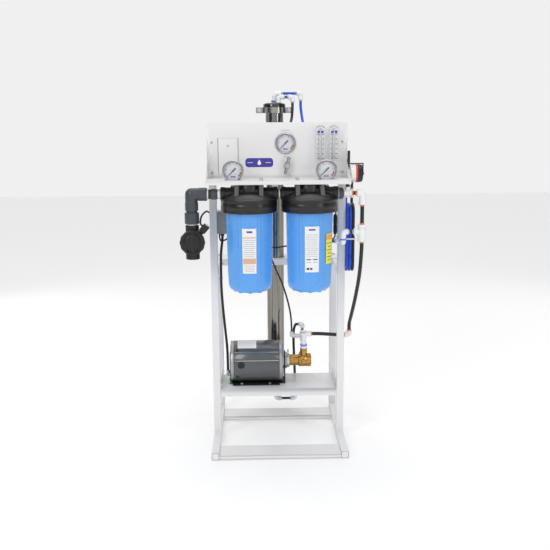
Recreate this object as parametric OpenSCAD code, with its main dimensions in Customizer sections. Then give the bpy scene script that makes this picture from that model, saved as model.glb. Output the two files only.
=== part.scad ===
// Free-standing reverse osmosis unit: a stand of square tube that carries two filter housings,
// a steel membrane vessel, a motor with a brass vane pump and an instrument panel.
// Millimetres. X is across the unit, Y runs from front to back and Z is up. The stand's own
// coordinates have X 0 on its centre line, Y 0 on the front uprights' front face and Z 0 on the
// floor; place() moves them so that the origin is the centre of the unit's footprint.

/* [Stand] */
// Outer width across the uprights
stand_w = 457.2; // [454:0.1:460]
// Height of the top of the front uprights
upright_top = 1092; // [1080:1:1096]
// Reach of the base rails in front of the uprights
rail_reach = 178; // [170:1:186]
// Front face of the rear uprights
rear_y = 271; // [266:1:276]
// Height of the top of the side rails
side_rail_top = 610; // [606:1:612]
// Height of the pump shelf's top face
shelf_top = 184; // [182:1:186]
// Depth of the pump shelf
shelf_depth = 165; // [160:1:168]

/* [Panel] */
// Width of the instrument panel
panel_w = 463; // [460:1:466]
// Height of the panel's top edge
panel_top = 1101; // [1098:1:1106]
// Height of the panel shelf's top face
ledge_top = 921; // [920:1:922]
// Reach of the panel's shelf
ledge_reach = 127; // [125:1:130]

/* [Filters] */
// Outer radius of a head's skirt
head_r = 92; // [91:0.5:93]
// Distance between the two housings
filter_pitch = 194.5; // [194:0.5:196]
// Height of the lowest point of a sump
sump_bottom = 558; // [550:1:565]

/* [Vessel] */
// Outer diameter of the vessel's shell
vessel_d = 63.5; // [63:0.1:64]
// Height of the vessel's lowest face
vessel_bottom = 92; // [88:1:94]
// Height of the upper end cap's top face
vessel_top = 1168; // [1166:1:1172]

/* [Motor and pump] */
// Outer radius of the motor's shell
motor_r = 73; // [71:0.5:74]
// Radius of the pump's barrel
barrel_r = 20; // [19:0.5:21]

/* [Hidden] */
$fn = 64;

// Where the stand's own zero point lies
stand_x = 13;
stand_y = -59;

// Square tube and sheet
tube = 25.4;
tube_wall = 1.6;
tube_round = 3;
sheet = 2;
half_w = stand_w / 2;
bay = half_w - tube;
crossbar_top = 16.4;
crossbar_depth = 80;
crossbar_lip = 11.4;
rear_crossbar_y = 166;
lip = 27;
shelf_flange = 25;
plate_y = 200;
plate_lip = 24;
vessel_x = -3;
vessel_y = 245;
vessel_hole_r = 33.5;

// Panel
ledge_lip = 13.5;
gusset_h = 55;
panel_round = 4;
cover_c = [-161.8, 994.5];
cover_size = [74, 122];
badge_c = [-59.5, 971];
badge_size = [96, 34];

// Filters: the port axis is where the pipework runs
port_z = 875.5;
filter_y = -84;
filter_x = [3.75 - filter_pitch / 2, 3.75 + filter_pitch / 2];
port_r = 23;
port_bore = 15.5;
skirt_z = 819;
skirt_top = 862;
neck_r = 78;
fit_gap = 0.06;
neck_top = 852.6;
roof_z = 854;
post_x = 39;
post_y = 32;
seal_r = 2.5;
seal_ring = 74;
gauge_boss = 25;
cartridge_z = sump_bottom + 12;
cartridge_top = 821.7;

// Gauges: centre and face direction as [x, y, z]
gauge_r = 34.6;
gauge_bore = 31.5;
feed_gauge = [-144, -84, 949.5];
filtered_gauge = [155.5, -84, 949.5];
membrane_gauge = [27.3, 1, 1033];
spindle_r = 1.25;
pointer_rest = 225;

// Flow meters
meter_x = [140.5, 185.3];
meter_size = [33, 30, 122];
meter_z = 968;
meter_bore = 6;
float_r = 5.5;
float_rest = 990;

// Concentrate needle valve
valve_x = 32;
valve_z = 961;
handle_tilt = 13.4;

// Membrane vessel, from the lower cap's bottom to the upper cap's top
cap_r = 40;
cap_h = 15;
clamp_h = 20;
clamp_r = 42.5;
shell_r = vessel_d / 2;
flange_r = 37;

// Motor and pump lie along X on this axis
axis_y = 90;
axis_z = 260;
shell_x0 = -157.5;
shell_x1 = 4.7;
bell_x0 = -169.3;
bell_x1 = 22.7;
shaft_r = 8;
cradle = 2.8;
pump_x0 = 42;
pump_x1 = 120;
pump_r = 23.5;
port_x = 93;

// Feed line and valve
feed_x = -279.6;
elbow_end = -229.5;
grip = 16;
bonnet_c = [-277.5, 723.6];
bonnet_r = 41;
coil_tilt = 42;

// Low-pressure switch, on the side of the panel's gusset
switch_c = [231.5, -60, 937];
switch_r = 29;

// Right-hand pipework
riser_x = 273;

// Tubing radii: half inch, three eighths and a quarter of an inch
r12 = 6.35;
r38 = 4.76;
r14 = 3.17;
collet = 5;

// Hank of outlet hoses tied beside the right-hand upright: turns lie in planes across X
hank_y = 20;
hank_bend = 28.5;
hank_low = 632;
hank_high = 800;
hank_x = 229.8;
hose_d = 2 * r38;
union_low = 848;
blue_union = [hank_x + r38, hank_y + hank_bend];
black_union = [hank_x + 5 * r38 + 0.8, hank_y + hank_bend];

// Push-in elbows as [corner, end of one arm, end of the other arm, body radius]
elbows = [
    [[riser_x, filter_y, port_z], [255, filter_y, port_z], [riser_x, filter_y, 838], 12.5],
    [[212, filter_y, 749], [228, filter_y, 749], [212, filter_y, 730], 10],
    [[256, 90, 352], [240, 90, 352], [256, 90, 367], 11.5],
    [[91, 138, 260], [91, 124, 260], [91, 138, 276], 9.5],
    [[52, 138, 336], [66, 138, 336], [52, 138, 350], 8],
    [[91, 138, 380], [80, 138, 380], [91, 138, 368], 9.5],
    [[69, 245, 57], [54, 245, 57], [69, 245, 71], 9.5],
    [[vessel_x, 245, 57], [15, 245, 57], [vessel_x, 245, vessel_bottom], 9.5],
    [[vessel_x, 245, 1201], [22, 245, 1201], [vessel_x, 245, vessel_top], 9.5],
    [[91, 245, 1201], [78, 245, 1201], [91, 245, 1178], 9.5],
    [[11, 225, 1188], [30, 225, 1188], [11, 225, vessel_top], 9],
    [[61, 225, 1188], [46, 225, 1188], [61, 225, 1172], 9.5],
    [[0, 22, valve_z], [valve_x - 20, 22, valve_z], [0, 22, 977], 8],
];

// Collets as [outer face of the fitting, direction the tube leaves, tube radius]
left = [-1, 0, 0];
right = [1, 0, 0];
up = [0, 0, 1];
down = [0, 0, -1];
back = [0, 1, 0];
collets = [
    [[255, filter_y, port_z], left, r12], [[riser_x, filter_y, 838], down, r12],
    [[237, filter_y, port_z], right, r12],
    [[riser_x, filter_y, 773], up, r12], [[riser_x, filter_y, 717], down, r12],
    [[246, filter_y, 749], left, r38], [[228, filter_y, 749], right, r38],
    [[190, -40, 712], left, r38],
    [[256, 90, 367], up, r12], [[240, 90, 352], left, r12], [[118, 90, 357], right, r12],
    [[91, 138, 276], up, r38], [[91, 138, 320], down, r38], [[91, 138, 352], up, r38],
    [[91, 138, 368], down, r38], [[80, 138, 380], left, r38], [[52, 138, 350], up, r14],
    [[69, 245, 71], up, r38], [[54, 245, 57], left, r38], [[15, 245, 57], right, r38],
    [[22, 245, 1201], right, r38], [[78, 245, 1201], left, r38], [[91, 245, 1178], down, r38],
    [[30, 225, 1188], right, r38], [[46, 225, 1188], left, r38], [[61, 225, 1172], down, r38],
    [[0, 22, 977], up, r38], [[66, 22, 945], down, r38], [[78, 22, valve_z], right, r38],
    for (x = meter_x, z = [20, 100]) [[x, 20, meter_z + z], back, r38],
    [[blue_union[0], blue_union[1], 876], up, r38], [[black_union[0], black_union[1], 876], up, r38],
];

// Hose routes that both ends hold
riser_route = [[riser_x, filter_y, 833], [riser_x, filter_y, 812], [riser_x, filter_y, 778]];
feed_route = [[riser_x, filter_y, 712], [riser_x, filter_y, 690], [271, -60, 600], [264, 0, 500],
    [258, 60, 425], [256, 90, 395], [256, 90, 372]];
inlet_route = [[235, 90, 352], [212, 90, 352], [150, 90, 357], [123, 90, 357]];
outlet_route = [[75, 138, 380], [65, 138, 380], [59, 150, 350], [61, 176, 290], [65, 188, 200],
    [68, 210, 120], [69, 245, 100], [69, 245, 76]];
gauge_route = [[52, 138, 355], [52, 138, 375], [48, 145, 430], [22, 165, 524], [-12, 180, 594],
    [-45, 120, 700], [-40, 60, 850], [0, 60, 1000], [27.3, 55, 1033], [27.3, 29, 1033]];
recycle_route = [[185, -40, 712], [175, -40, 712], [160, -8, 714], [150, 18, 730], [130, 40, 800],
    [85, 40, 900], [66, 22, 922], [66, 22, 940]];
concentrate_route = [[61, 225, 1167], [61, 225, 1145], [56, 200, 1100], [30, 110, 1060], [2, 40, 1040],
    [0, 22, 1010], [0, 22, 982]];
waste_route = [[83, 22, valve_z], [105, 22, valve_z], [150, 55, 962], [182, 75, 978], [185.3, 55, 988],
    [185.3, 25, 988]];
waste_out_route = [[185.3, 25, 1068], [185.3, 50, 1068], [206, 66, 1040], [236, 66, 980],
    [black_union[0], 56, 920], [black_union[0], black_union[1], 900], [black_union[0], black_union[1], 881]];
permeate_route = [[91, 245, 1173], [91, 245, 1150], [96, 215, 1105], [104, 140, 1050], [125, 85, 1000],
    [140.5, 62, 988], [140.5, 25, 988]];
product_out_route = [[140.5, 25, 1068], [140.5, 48, 1068], [160, 62, 1050], [200, 56, 1000],
    [226, 50, 940], [blue_union[0], blue_union[1], 905], [blue_union[0], blue_union[1], 881]];

// Cables
coil_cable_route = [[-245.56, -98, 775.58], [-253.02, -98, 782.3], [-250, -80, 806], [-238, -30, 814],
    [-236, 10, 810], [-228, 36, 800], [-216, 40, 786], [-203.2, 40, 786]];
motor_cord_route = [[-188, 40, 732], [-188, 40, 710], [-195, 44, 660], [-196, 56, 600], [-197, 62, 540],
    [-192, 66, 453], [-186, 74, 380], [-180.5, 80, 310], [-179.8, 80, 260], [-179.8, 80, 229]];
switch_cable_route = [[247, -27.4, 937], [247, 4, 937], [238, 34, 902], [216, 40, 850], [198, 40, 792]];
cross_cable_route = [[198, 40, 724], [196, 46, 705], [150, 58, 694], [28, 60, 681], [-15, 60, 673],
    [-100, 58, 700], [-160, 54, 722], [-176, 50, 706], [-194, 46, 702], [-198, 40, 714], [-198, 40, 732]];

// ---------- shared shapes ----------

module place() translate([stand_x, stand_y, 0]) children();

function unit(v) = v / norm(v);
function corner_cut(p) = concat([p[0]],
    [for (i = [0:len(p) - 2]) each [0.75 * p[i] + 0.25 * p[i + 1], 0.25 * p[i] + 0.75 * p[i + 1]]],
    [p[len(p) - 1]]);
function tangent(p, i) = unit(p[min(i + 1, len(p) - 1)] - p[max(i - 1, 0)]);

// Straight round bar from a to b
module bar(a, b, r) {
    d = b - a;
    translate(a) rotate([0, acos(d[2] / norm(d)), atan2(d[1], d[0])]) cylinder(r = r, h = norm(d));
}

// Straight pipe from a to b
module pipe(a, b, r, bore) {
    d = b - a;
    translate(a) rotate([0, acos(d[2] / norm(d)), atan2(d[1], d[0])]) difference() {
        cylinder(r = r, h = norm(d));
        translate([0, 0, -1]) cylinder(r = bore, h = norm(d) + 2);
    }
}

// Hose swept along a route; ref is a direction that the route never follows
module hose(route, r, ref, sides = 10) {
    p = corner_cut(route);
    n = len(p);
    rings = [for (i = [0:n - 1])
        let (t = tangent(p, i), u = unit(cross(t, ref)), v = cross(u, t))
        for (k = [0:sides - 1]) p[i] + r * (cos(360 * k / sides) * u + sin(360 * k / sides) * v)];
    sides_faces = [for (i = [0:n - 2], k = [0:sides - 1])
        let (m = (k + 1) % sides) [i * sides + k, i * sides + m, (i + 1) * sides + m, (i + 1) * sides + k]];
    polyhedron(rings, concat(sides_faces, [[for (k = [sides - 1:-1:0]) k]],
        [[for (k = [0:sides - 1]) (n - 1) * sides + k]]));
}

module rounded_square(size, r) {
    square([size[0] - 2 * r, size[1]], center = true);
    square([size[0], size[1] - 2 * r], center = true);
    for (x = [-1, 1], y = [-1, 1]) translate([x * (size[0] / 2 - r), y * (size[1] / 2 - r)]) circle(r);
}

module square_tube(length) linear_extrude(length) difference() {
    rounded_square([tube, tube], tube_round);
    rounded_square([tube - 2 * tube_wall, tube - 2 * tube_wall], tube_round - tube_wall);
}

module tube_y(x, y0, y1, z) translate([x, y0, z]) rotate([-90, 0, 0]) square_tube(y1 - y0);
module tube_z(x, y, z0, z1) translate([x, y, z0]) square_tube(z1 - z0);

// Plate in the XZ plane with its back face on y
module wall_plate(centre, size, y, thick, r) translate([centre[0], y, centre[1]]) rotate([90, 0, 0])
    linear_extrude(thick) rounded_square(size, r);

module hex_head(p, dir, af = 10, h = 4, shank = 3, reach = 6) {
    translate(p) rotate(dir) {
        cylinder(r = af / sqrt(3), h = h, $fn = 6);
        translate([0, 0, -reach]) cylinder(r = shank, h = reach);
    }
}

// ---------- stand ----------

module base_rails() color("whitesmoke") place()
    for (s = [-1, 1]) tube_y(s * (half_w - tube / 2), -rail_reach, rear_y + tube, tube / 2);

module front_uprights() color("whitesmoke") place()
    for (s = [-1, 1]) tube_z(s * (half_w - tube / 2), tube / 2, tube, upright_top);

module rear_frame_tubes() color("whitesmoke") place() for (s = [-1, 1]) {
    tube_z(s * (half_w - tube / 2), rear_y + tube / 2, tube, side_rail_top);
    tube_y(s * (half_w - tube / 2), tube, rear_y, side_rail_top - tube / 2);
}

module crossbar(y) {
    translate([-bay, y, crossbar_top - sheet]) cube([2 * bay, crossbar_depth, sheet]);
    translate([-bay, y, crossbar_top - crossbar_lip]) cube([2 * bay, sheet, crossbar_lip]);
    translate([-bay, y + crossbar_depth - sheet, crossbar_top - crossbar_lip])
        cube([2 * bay, sheet, crossbar_lip]);
}

module base_crossbars() color("whitesmoke") place() {
    crossbar(-rail_reach);
    crossbar(rear_crossbar_y);
}

module motor_bolts() for (x = [-130, -30], y = [axis_y - 42, axis_y + 42])
    translate([x, y, shelf_top]) children();

module pump_shelf() color("gainsboro") place() difference() {
    union() {
        translate([-bay, 0, shelf_top - sheet]) cube([2 * bay, shelf_depth, sheet]);
        translate([-bay, 0, shelf_top - lip]) cube([2 * bay, sheet, lip]);
        for (x = [-bay, bay - sheet]) translate([x, 0, shelf_top - sheet])
            cube([sheet, shelf_depth, shelf_flange + sheet]);
    }
    motor_bolts() cylinder(r = 3.3, h = 20, center = true);
    for (s = [-1, 1]) translate([s * bay, tube / 2, shelf_top + 13]) rotate([0, 90, 0])
        cylinder(r = 3.3, h = 9, center = true);
}

module vessel_plate() color("whitesmoke") place() difference() {
    union() {
        translate([-half_w, plate_y, side_rail_top]) cube([stand_w, rear_y + tube - plate_y, sheet]);
        translate([-bay, plate_y, side_rail_top + sheet - plate_lip]) cube([2 * bay, sheet, plate_lip]);
    }
    translate([vessel_x, vessel_y, side_rail_top - 1]) cylinder(r = vessel_hole_r, h = sheet + 2);
    for (s = [-1, 1]) translate([s * (half_w - tube / 2), rear_y + tube / 2, side_rail_top - 1])
        cylinder(r = 3.3, h = sheet + 2);
}

// ---------- instrument panel ----------

module panel_gusset(x) translate([x, 0, ledge_top - sheet]) rotate([90, 0, 90]) linear_extrude(sheet)
    polygon([[0, 0], [-ledge_reach, 0], [-ledge_reach, sheet], [-sheet, gusset_h], [0, gusset_h]]);

// Slot in the ledge that lets a gauge case stand partly below it
module gauge_slot(g) translate([g[0], g[1], ledge_top - 1]) linear_extrude(2 * sheet + 2, center = true)
    rounded_square([52, 32], 6);

module instrument_panel() color("whitesmoke") place() difference() {
    union() {
        translate([-panel_w / 2, -sheet, ledge_top - sheet])
            cube([panel_w, sheet, panel_top - ledge_top + sheet]);
        translate([-panel_w / 2, -ledge_reach, ledge_top - sheet]) cube([panel_w, ledge_reach, sheet]);
        translate([-panel_w / 2, -ledge_reach, ledge_top - ledge_lip]) cube([panel_w, sheet, ledge_lip]);
        translate([-panel_w / 2, -sheet, panel_top - sheet]) cube([panel_w, 16, sheet]);
        panel_gusset(-panel_w / 2);
        panel_gusset(panel_w / 2 - sheet);
    }
    gauge_slot(feed_gauge);
    gauge_slot(filtered_gauge);
    translate([membrane_gauge[0], 0, membrane_gauge[2]]) rotate([90, 0, 0])
        cylinder(r = gauge_r - 1.1, h = 20, center = true);
    translate([valve_x, 0, valve_z]) rotate([90, 0, 0]) cylinder(r = 8.2, h = 20, center = true);
    wall_plate(cover_c, cover_size - [16, 20], 5, 12, 3);
    for (x = meter_x, z = [20, 100]) translate([x, 0, meter_z + z]) rotate([90, 0, 0])
        cylinder(r = 8.2, h = 20, center = true);
    for (x = filter_x, i = [-1, 1], j = [-1, 1])
        translate([x + post_x * i, filter_y + post_y * j, ledge_top - 3]) cylinder(r = 3.3, h = 6);
    for (s = [-1, 1], z = [ledge_top + 18, 1037]) translate([s * (half_w - tube / 2), 0, z])
        rotate([90, 0, 0]) cylinder(r = 2.6, h = 20, center = true);
}

module access_cover() color("white") place() difference() {
    wall_plate(cover_c, cover_size, -sheet, 1.5, 4);
    for (s = [-1, 1]) translate([cover_c[0], 0, cover_c[1] + s * 31.5])
        rotate([90, 0, 0]) cylinder(r = 2.1, h = 20);
}

module badge() color("navy") place() {
    wall_plate(badge_c, badge_size, -sheet, 1.2, 12);
}

module fasteners() color("silver") place() {
    for (s = [-1, 1], z = [ledge_top + 18, 1037]) translate([s * (half_w - tube / 2), -sheet, z])
        rotate([90, 0, 0]) {
            cylinder(r = 5, h = 2.6);
            translate([0, 0, -sheet]) cylinder(r = 2.5, h = sheet);
        }
    for (s = [-1, 1]) translate([cover_c[0], -sheet - 1.5, cover_c[1] + s * 31.5]) rotate([90, 0, 0]) {
        cylinder(r = 3.6, h = 1.6);
        translate([0, 0, -1.5]) cylinder(r = 2, h = 1.5);
    }
    for (x = filter_x, i = [-1, 1], j = [-1, 1])
        hex_head([x + post_x * i, filter_y + post_y * j, ledge_top], [0, 0, 0], reach = sheet);
    motor_bolts() hex_head([0, 0, cradle], [0, 0, 0], reach = cradle + sheet);
    for (s = [-1, 1]) {
        hex_head([s * (bay - sheet), tube / 2, shelf_top + 13], [0, -90 * s, 0], reach = sheet);
        hex_head([s * (half_w - tube / 2), rear_y + tube / 2, side_rail_top + sheet], [0, 0, 0],
            reach = sheet);
    }
    for (z = [vessel_bottom + cap_h + clamp_h / 2, vessel_top - cap_h - clamp_h / 2], s = [-1, 1])
        translate([vessel_x + 54 * s, vessel_y - 10, z]) rotate([90, 0, 0]) {
            cylinder(r = 6, h = 5, $fn = 6);
            translate([0, 0, -26]) cylinder(r = 3, h = 26);
            translate([0, 0, -25]) cylinder(r = 6, h = 5, $fn = 6);
        }
}

// ---------- gauges, in their own frame: the face looks along -Y ----------

module gauge_case(g, side) translate(g) {
    rotate([90, 0, 0]) difference() {
        translate([0, 0, -14]) cylinder(r = gauge_r - 1.4, h = 20);
        translate([0, 0, -12]) cylinder(r = gauge_bore, h = 30);
    }
    rotate([90, 0, 0]) difference() {
        translate([0, 0, 3]) cylinder(r = gauge_r, h = 7);
        translate([0, 0, 2]) cylinder(r = gauge_bore, h = 5);
        translate([0, 0, 6]) cylinder(r = gauge_bore - 2.5, h = 8);
    }
    if (side) difference() {
        translate([0, 0, port_z + gauge_boss - feed_gauge[2]]) cylinder(r = 7, h = 17);
        rotate([90, 0, 0]) translate([0, 0, -12]) cylinder(r = gauge_bore + 1, h = 18);
    }
    else translate([0, 14, 0]) rotate([-90, 0, 0]) cylinder(r = 7, h = 14);
}

module gauge_cases() color("silver") place() {
    gauge_case(feed_gauge, true);
    gauge_case(filtered_gauge, true);
    gauge_case(membrane_gauge, false);
}

module gauge_dials() color("white") place() for (g = [feed_gauge, filtered_gauge, membrane_gauge])
    translate(g) rotate([90, 0, 0]) {
        translate([0, 0, -4]) cylinder(r = gauge_bore - 0.1, h = 2);
        translate([0, 0, -12]) cylinder(r = spindle_r, h = 13);
    }

module gauge_lenses() color("lightcyan", 0.4) place() for (g = [feed_gauge, filtered_gauge, membrane_gauge])
    translate(g) rotate([90, 0, 0]) translate([0, 0, 5.5]) cylinder(r = gauge_bore - 0.05, h = 1.5);

module pointer(g) color("black") place() translate(g) rotate([0, pointer_rest, 0]) rotate([90, 0, 0])
difference() {
    translate([0, 0, -1]) linear_extrude(1.2) union() {
        circle(3.4);
        polygon([[-1.2, 0], [-1.8, -9], [1.8, -9], [1.2, 0], [0.4, 24], [-0.4, 24]]);
    }
    translate([0, 0, -2]) cylinder(r = spindle_r + fit_gap, h = 4);
}

module feed_pointer() pointer(feed_gauge);
module filtered_pointer() pointer(filtered_gauge);
module membrane_pointer() pointer(membrane_gauge);

// ---------- flow meters ----------

module flowmeter_bodies() color("lightcyan", 0.5) place() for (x = meter_x) {
    difference() {
        translate([x - meter_size[0] / 2, -sheet - meter_size[1], meter_z]) cube(meter_size);
        translate([x, -17, meter_z + 15]) cylinder(r = meter_bore, h = meter_size[2] - 30);
    }
    for (z = [20, 100]) translate([x, -sheet, meter_z + z]) rotate([-90, 0, 0]) cylinder(r = 8, h = 22);
}

module meter_float(x) color("red") place() translate([x, -17, float_rest]) {
    cylinder(r = float_r, h = 6);
    translate([0, 0, -6]) cylinder(r1 = 1.5, r2 = float_r, h = 6);
}

module product_float() meter_float(meter_x[0]);
module waste_float() meter_float(meter_x[1]);

// ---------- concentrate needle valve ----------

module needle_valve_body() color("silver") place() translate([valve_x, 0, valve_z]) rotate([90, 0, 0])
difference() {
    union() {
        translate([0, 0, sheet]) cylinder(r = 12, h = 7, $fn = 6);
        cylinder(r = 8, h = 3);
        translate([0, 0, -34]) cylinder(r = 12, h = 34);
        translate([-20, 0, -22]) rotate([0, 90, 0]) cylinder(r = 8, h = 40);
    }
    translate([0, 0, -12]) cylinder(r = 4 + fit_gap, h = 30);
    translate([0, 0, -31]) cylinder(r = 3 + fit_gap, h = 21);
    translate([-21, 0, -22]) rotate([0, 90, 0]) cylinder(r = 4, h = 42);
}

module needle_valve_handle() color("silver") place() translate([valve_x, 0, valve_z])
    rotate([0, handle_tilt, 0]) rotate([90, 0, 0]) {
        translate([0, 0, -6]) cylinder(r = 4, h = 26);
        translate([0, 0, 14]) cylinder(r = 8, h = 14);
        translate([0, -29, 21]) rotate([-90, 0, 0]) cylinder(r = 4.2, h = 58);
    }

module needle_valve_needle() color("silver") place() translate([valve_x, 0, valve_z]) rotate([90, 0, 0]) {
    translate([0, 0, -24]) cylinder(r = 3, h = 12);
    translate([0, 0, -27]) cylinder(r1 = 0.6, r2 = 3, h = 3);
}

// ---------- filter housings ----------

module filter_head(x, gauge_dx) translate([x, filter_y, 0]) difference() {
    union() {
        translate([gauge_dx, 0, port_z]) cylinder(r = 9.5, h = gauge_boss);
        translate([0, 0, skirt_z]) cylinder(r = head_r, h = skirt_top - skirt_z);
        translate([0, 0, skirt_top]) cylinder(r1 = head_r - 3, r2 = 62, h = 18);
        translate([0, 0, skirt_top]) cylinder(r = 38, h = 46);
        translate([-head_r, 0, port_z]) rotate([0, 90, 0]) cylinder(r = port_r, h = 2 * head_r);
        for (i = [-1, 1], j = [-1, 1]) translate([post_x * i, post_y * j, skirt_top])
            cylinder(r = 8, h = ledge_top - sheet - skirt_top);
    }
    difference() {
        translate([0, 0, skirt_z - 1]) cylinder(r = neck_r + fit_gap, h = roof_z - skirt_z + 1);
        translate([0, 0, cartridge_top + 0.3]) cylinder(r = 24, h = roof_z - cartridge_top);
    }
    difference() {
        translate([0, 0, roof_z - 0.1]) cylinder(r = seal_ring + seal_r + 0.1, h = 2 * seal_r - 0.4);
        translate([0, 0, roof_z - 1]) cylinder(r = seal_ring - seal_r - 0.1, h = 8);
    }
    for (s = [-1, 1]) translate([s * 30, 0, port_z]) rotate([0, s * 90, 0]) cylinder(r = port_bore, h = 70);
    translate([-48, 0, roof_z - 1]) cylinder(r = 11, h = 18);
    translate([0, 0, cartridge_top]) cylinder(r = 11, h = roof_z + 17 - cartridge_top);
    translate([0, 0, port_z]) rotate([0, 90, 0]) cylinder(r = 11, h = 35);
}

module filter_heads() color([0.12, 0.12, 0.13]) place() {
    filter_head(filter_x[0], feed_gauge[0] - filter_x[0]);
    filter_head(filter_x[1], filtered_gauge[0] - filter_x[1]);
}

// Closed cylinder with a rounded foot: outline from the axis outwards, floor at z 0
module bowl_outline(r_foot, r_top, top, bend) polygon(concat([[0, 0], [r_foot - bend, 0]],
    [for (a = [-75:15:0]) [r_foot - bend + bend * cos(a), bend + bend * sin(a)]],
    [[r_top, top], [0, top]]));

module sump(x) color([0.16, 0.38, 0.75]) place() translate([x, filter_y, sump_bottom]) {
    difference() {
        union() {
            rotate_extrude() bowl_outline(72, 77, skirt_z - sump_bottom, 24);
            translate([0, 0, skirt_z - sump_bottom - 1]) cylinder(r = neck_r, h = neck_top - skirt_z + 1);
        }
        translate([0, 0, 7]) rotate_extrude() bowl_outline(66, 69.5, neck_top - sump_bottom, 20);
    }
    translate([0, 0, 6]) cylinder(r = 20, h = cartridge_z - sump_bottom - 6);
}

module sediment_sump() sump(filter_x[0]);
module carbon_sump() sump(filter_x[1]);

module cartridge(x, caps) place() translate([x, filter_y, cartridge_z]) difference() {
    union() {
        color("white") cylinder(r = 56, h = cartridge_top - cartridge_z);
        color(caps) for (z = [0, cartridge_top - cartridge_z - 12]) translate([0, 0, z])
            cylinder(r = 58, h = 12);
    }
    translate([0, 0, 6]) cylinder(r = 14, h = 250);
}

module sediment_cartridge() cartridge(filter_x[0], "white");
module carbon_cartridge() cartridge(filter_x[1], "steelblue");

module sump_seals() color("black") place() for (x = filter_x)
    translate([x, filter_y, roof_z + seal_r - 0.6]) rotate_extrude()
        translate([seal_ring, 0]) circle(seal_r, $fn = 24);

// ---------- feed line ----------

module pipe_x(x0, x1, r, bore) pipe([x0, filter_y, port_z], [x1, filter_y, port_z], r, bore);
module nipple(x0, x1) pipe_x(x0, x1, port_bore - 0.05, 11);

module pipe_fittings() color("dimgray") place() {
    translate([feed_x, filter_y, 0]) difference() {
        union() {
            translate([0, 0, port_z]) rotate([0, 90, 0]) cylinder(r = 21.4, h = elbow_end - feed_x);
            translate([0, 0, port_z]) sphere(r = 21.4);
            translate([0, 0, 823]) cylinder(r = 21.4, h = port_z - 823);
        }
        translate([0, 0, port_z]) rotate([0, 90, 0]) cylinder(r = 14, h = 60);
        translate([0, 0, port_z]) sphere(r = 14);
        translate([0, 0, 820]) cylinder(r = 14, h = port_z - 820);
    }
    translate([feed_x, filter_y, 817]) difference() {
        union() {
            cylinder(r = 18, h = 6);
            translate([0, 0, -36]) cylinder(r = 23.6, h = 36);
        }
        translate([0, 0, -37]) cylinder(r = 14, h = 50);
    }
    translate([feed_x, filter_y, 752]) difference() {
        cylinder(r = 14.95, h = 29);
        translate([0, 0, -1]) cylinder(r = 11, h = 40);
    }
    nipple(elbow_end, filter_x[0] - head_r + grip);
    nipple(filter_x[0] + head_r - grip, filter_x[1] - head_r + grip);
    nipple(filter_x[1] + head_r - grip, filter_x[1] + head_r + 3);
    pipe_x(filter_x[1] + head_r + 3, filter_x[1] + head_r + 19, 18.9, 8);
}

module thread_tape() color("white") place() {
    pipe_x(elbow_end, elbow_end + 5, 17, port_bore);
    pipe_x(filter_x[0] - head_r - 9, filter_x[0] - head_r, 17, port_bore);
    pipe_x(filter_x[0] + head_r, filter_x[1] - head_r, 17, port_bore);
    pipe_x(filter_x[1] + head_r, filter_x[1] + head_r + 3, 17, port_bore);
    pipe([feed_x, filter_y, 776], [feed_x, filter_y, 781], 17, 15);
    pipe([port_x, axis_y, 304], [port_x, axis_y, 310], 12.5, 11.05);
}

module solenoid_body() color([0.1, 0.1, 0.1]) place() translate([feed_x, filter_y, 0]) difference() {
    union() {
        translate([0, 0, 740]) cylinder(r = 21.8, h = 36, $fn = 48);
        translate([0, 0, 665]) cylinder(r = 22.5, h = 80);
        translate([bonnet_c[0] - feed_x, 0, bonnet_c[1]]) rotate([90, 0, 0]) {
            cylinder(r = 33, h = 26);
            rotate([0, 0, -coil_tilt]) translate([0, 20, 14]) rotate([-90, 0, 0]) cylinder(r = 8, h = 22);
        }
    }
    translate([0, 0, 752]) cylinder(r = 15, h = 40);
    translate([0, 0, 700]) cylinder(r = 11, h = 60);
    translate([0, 0, 660]) cylinder(r = 16.5, h = 30);
    translate([0, 0, 680]) cylinder(r = 11, h = 30);
}

module solenoid_bonnet() color([0.08, 0.08, 0.08]) place()
    translate([bonnet_c[0], filter_y - 26, bonnet_c[1]]) rotate([90, 0, 0]) {
        cylinder(r = bonnet_r - 2, h = 14);
        for (k = [0:11]) rotate([0, 0, 30 * k]) translate([bonnet_r - 5, 0, 0]) cylinder(r = 5, h = 14);
        translate([0, 0, 14]) cylinder(r1 = bonnet_r - 4, r2 = 20, h = 6);
    }

// The coil's axis leaves the bonnet's upper right at coil_tilt from vertical
module coil_frame() translate([bonnet_c[0], filter_y - 14, bonnet_c[1]]) rotate([0, coil_tilt, 0])
    translate([0, 0, 42]) children();

module solenoid_coil() color([0.15, 0.15, 0.16]) place() coil_frame() difference() {
    union() {
        translate([-11, -12, 2]) cube([22, 24, 26]);
        cylinder(r = 9, h = 31);
    }
    translate([0, 0, -1]) cylinder(r = 5.1, h = 28);
}

module solenoid_plunger() color("silver") place() coil_frame() translate([0, 0, 1]) {
    cylinder(r = 5.04, h = 18);
}

// ---------- low-pressure switch: its axis lies along X ----------

module switch_body() color("gainsboro") place() {
    translate(switch_c) rotate([0, 90, 0]) {
        cylinder(r = 14, h = 4);
        translate([0, 0, 4]) cylinder(r = switch_r, h = 22);
    }
    translate([225, filter_y, 896]) cylinder(r = 7, h = 12);
    bar([225, filter_y, 908], [238, -74, 914], 4);
}

module switch_cap() color([0.12, 0.12, 0.12]) place() translate(switch_c + [26, 0, 0]) rotate([0, 90, 0]) {
    cylinder(r = switch_r, h = 8);
    translate([0, 0, 8]) cylinder(r1 = switch_r, r2 = switch_r - 4, h = 9);
    translate([0, 0, 17]) cylinder(r = 3, h = 5);
    translate([0, 0, 21]) cylinder(r = 5.5, h = 2.5, $fn = 6);
}

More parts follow.
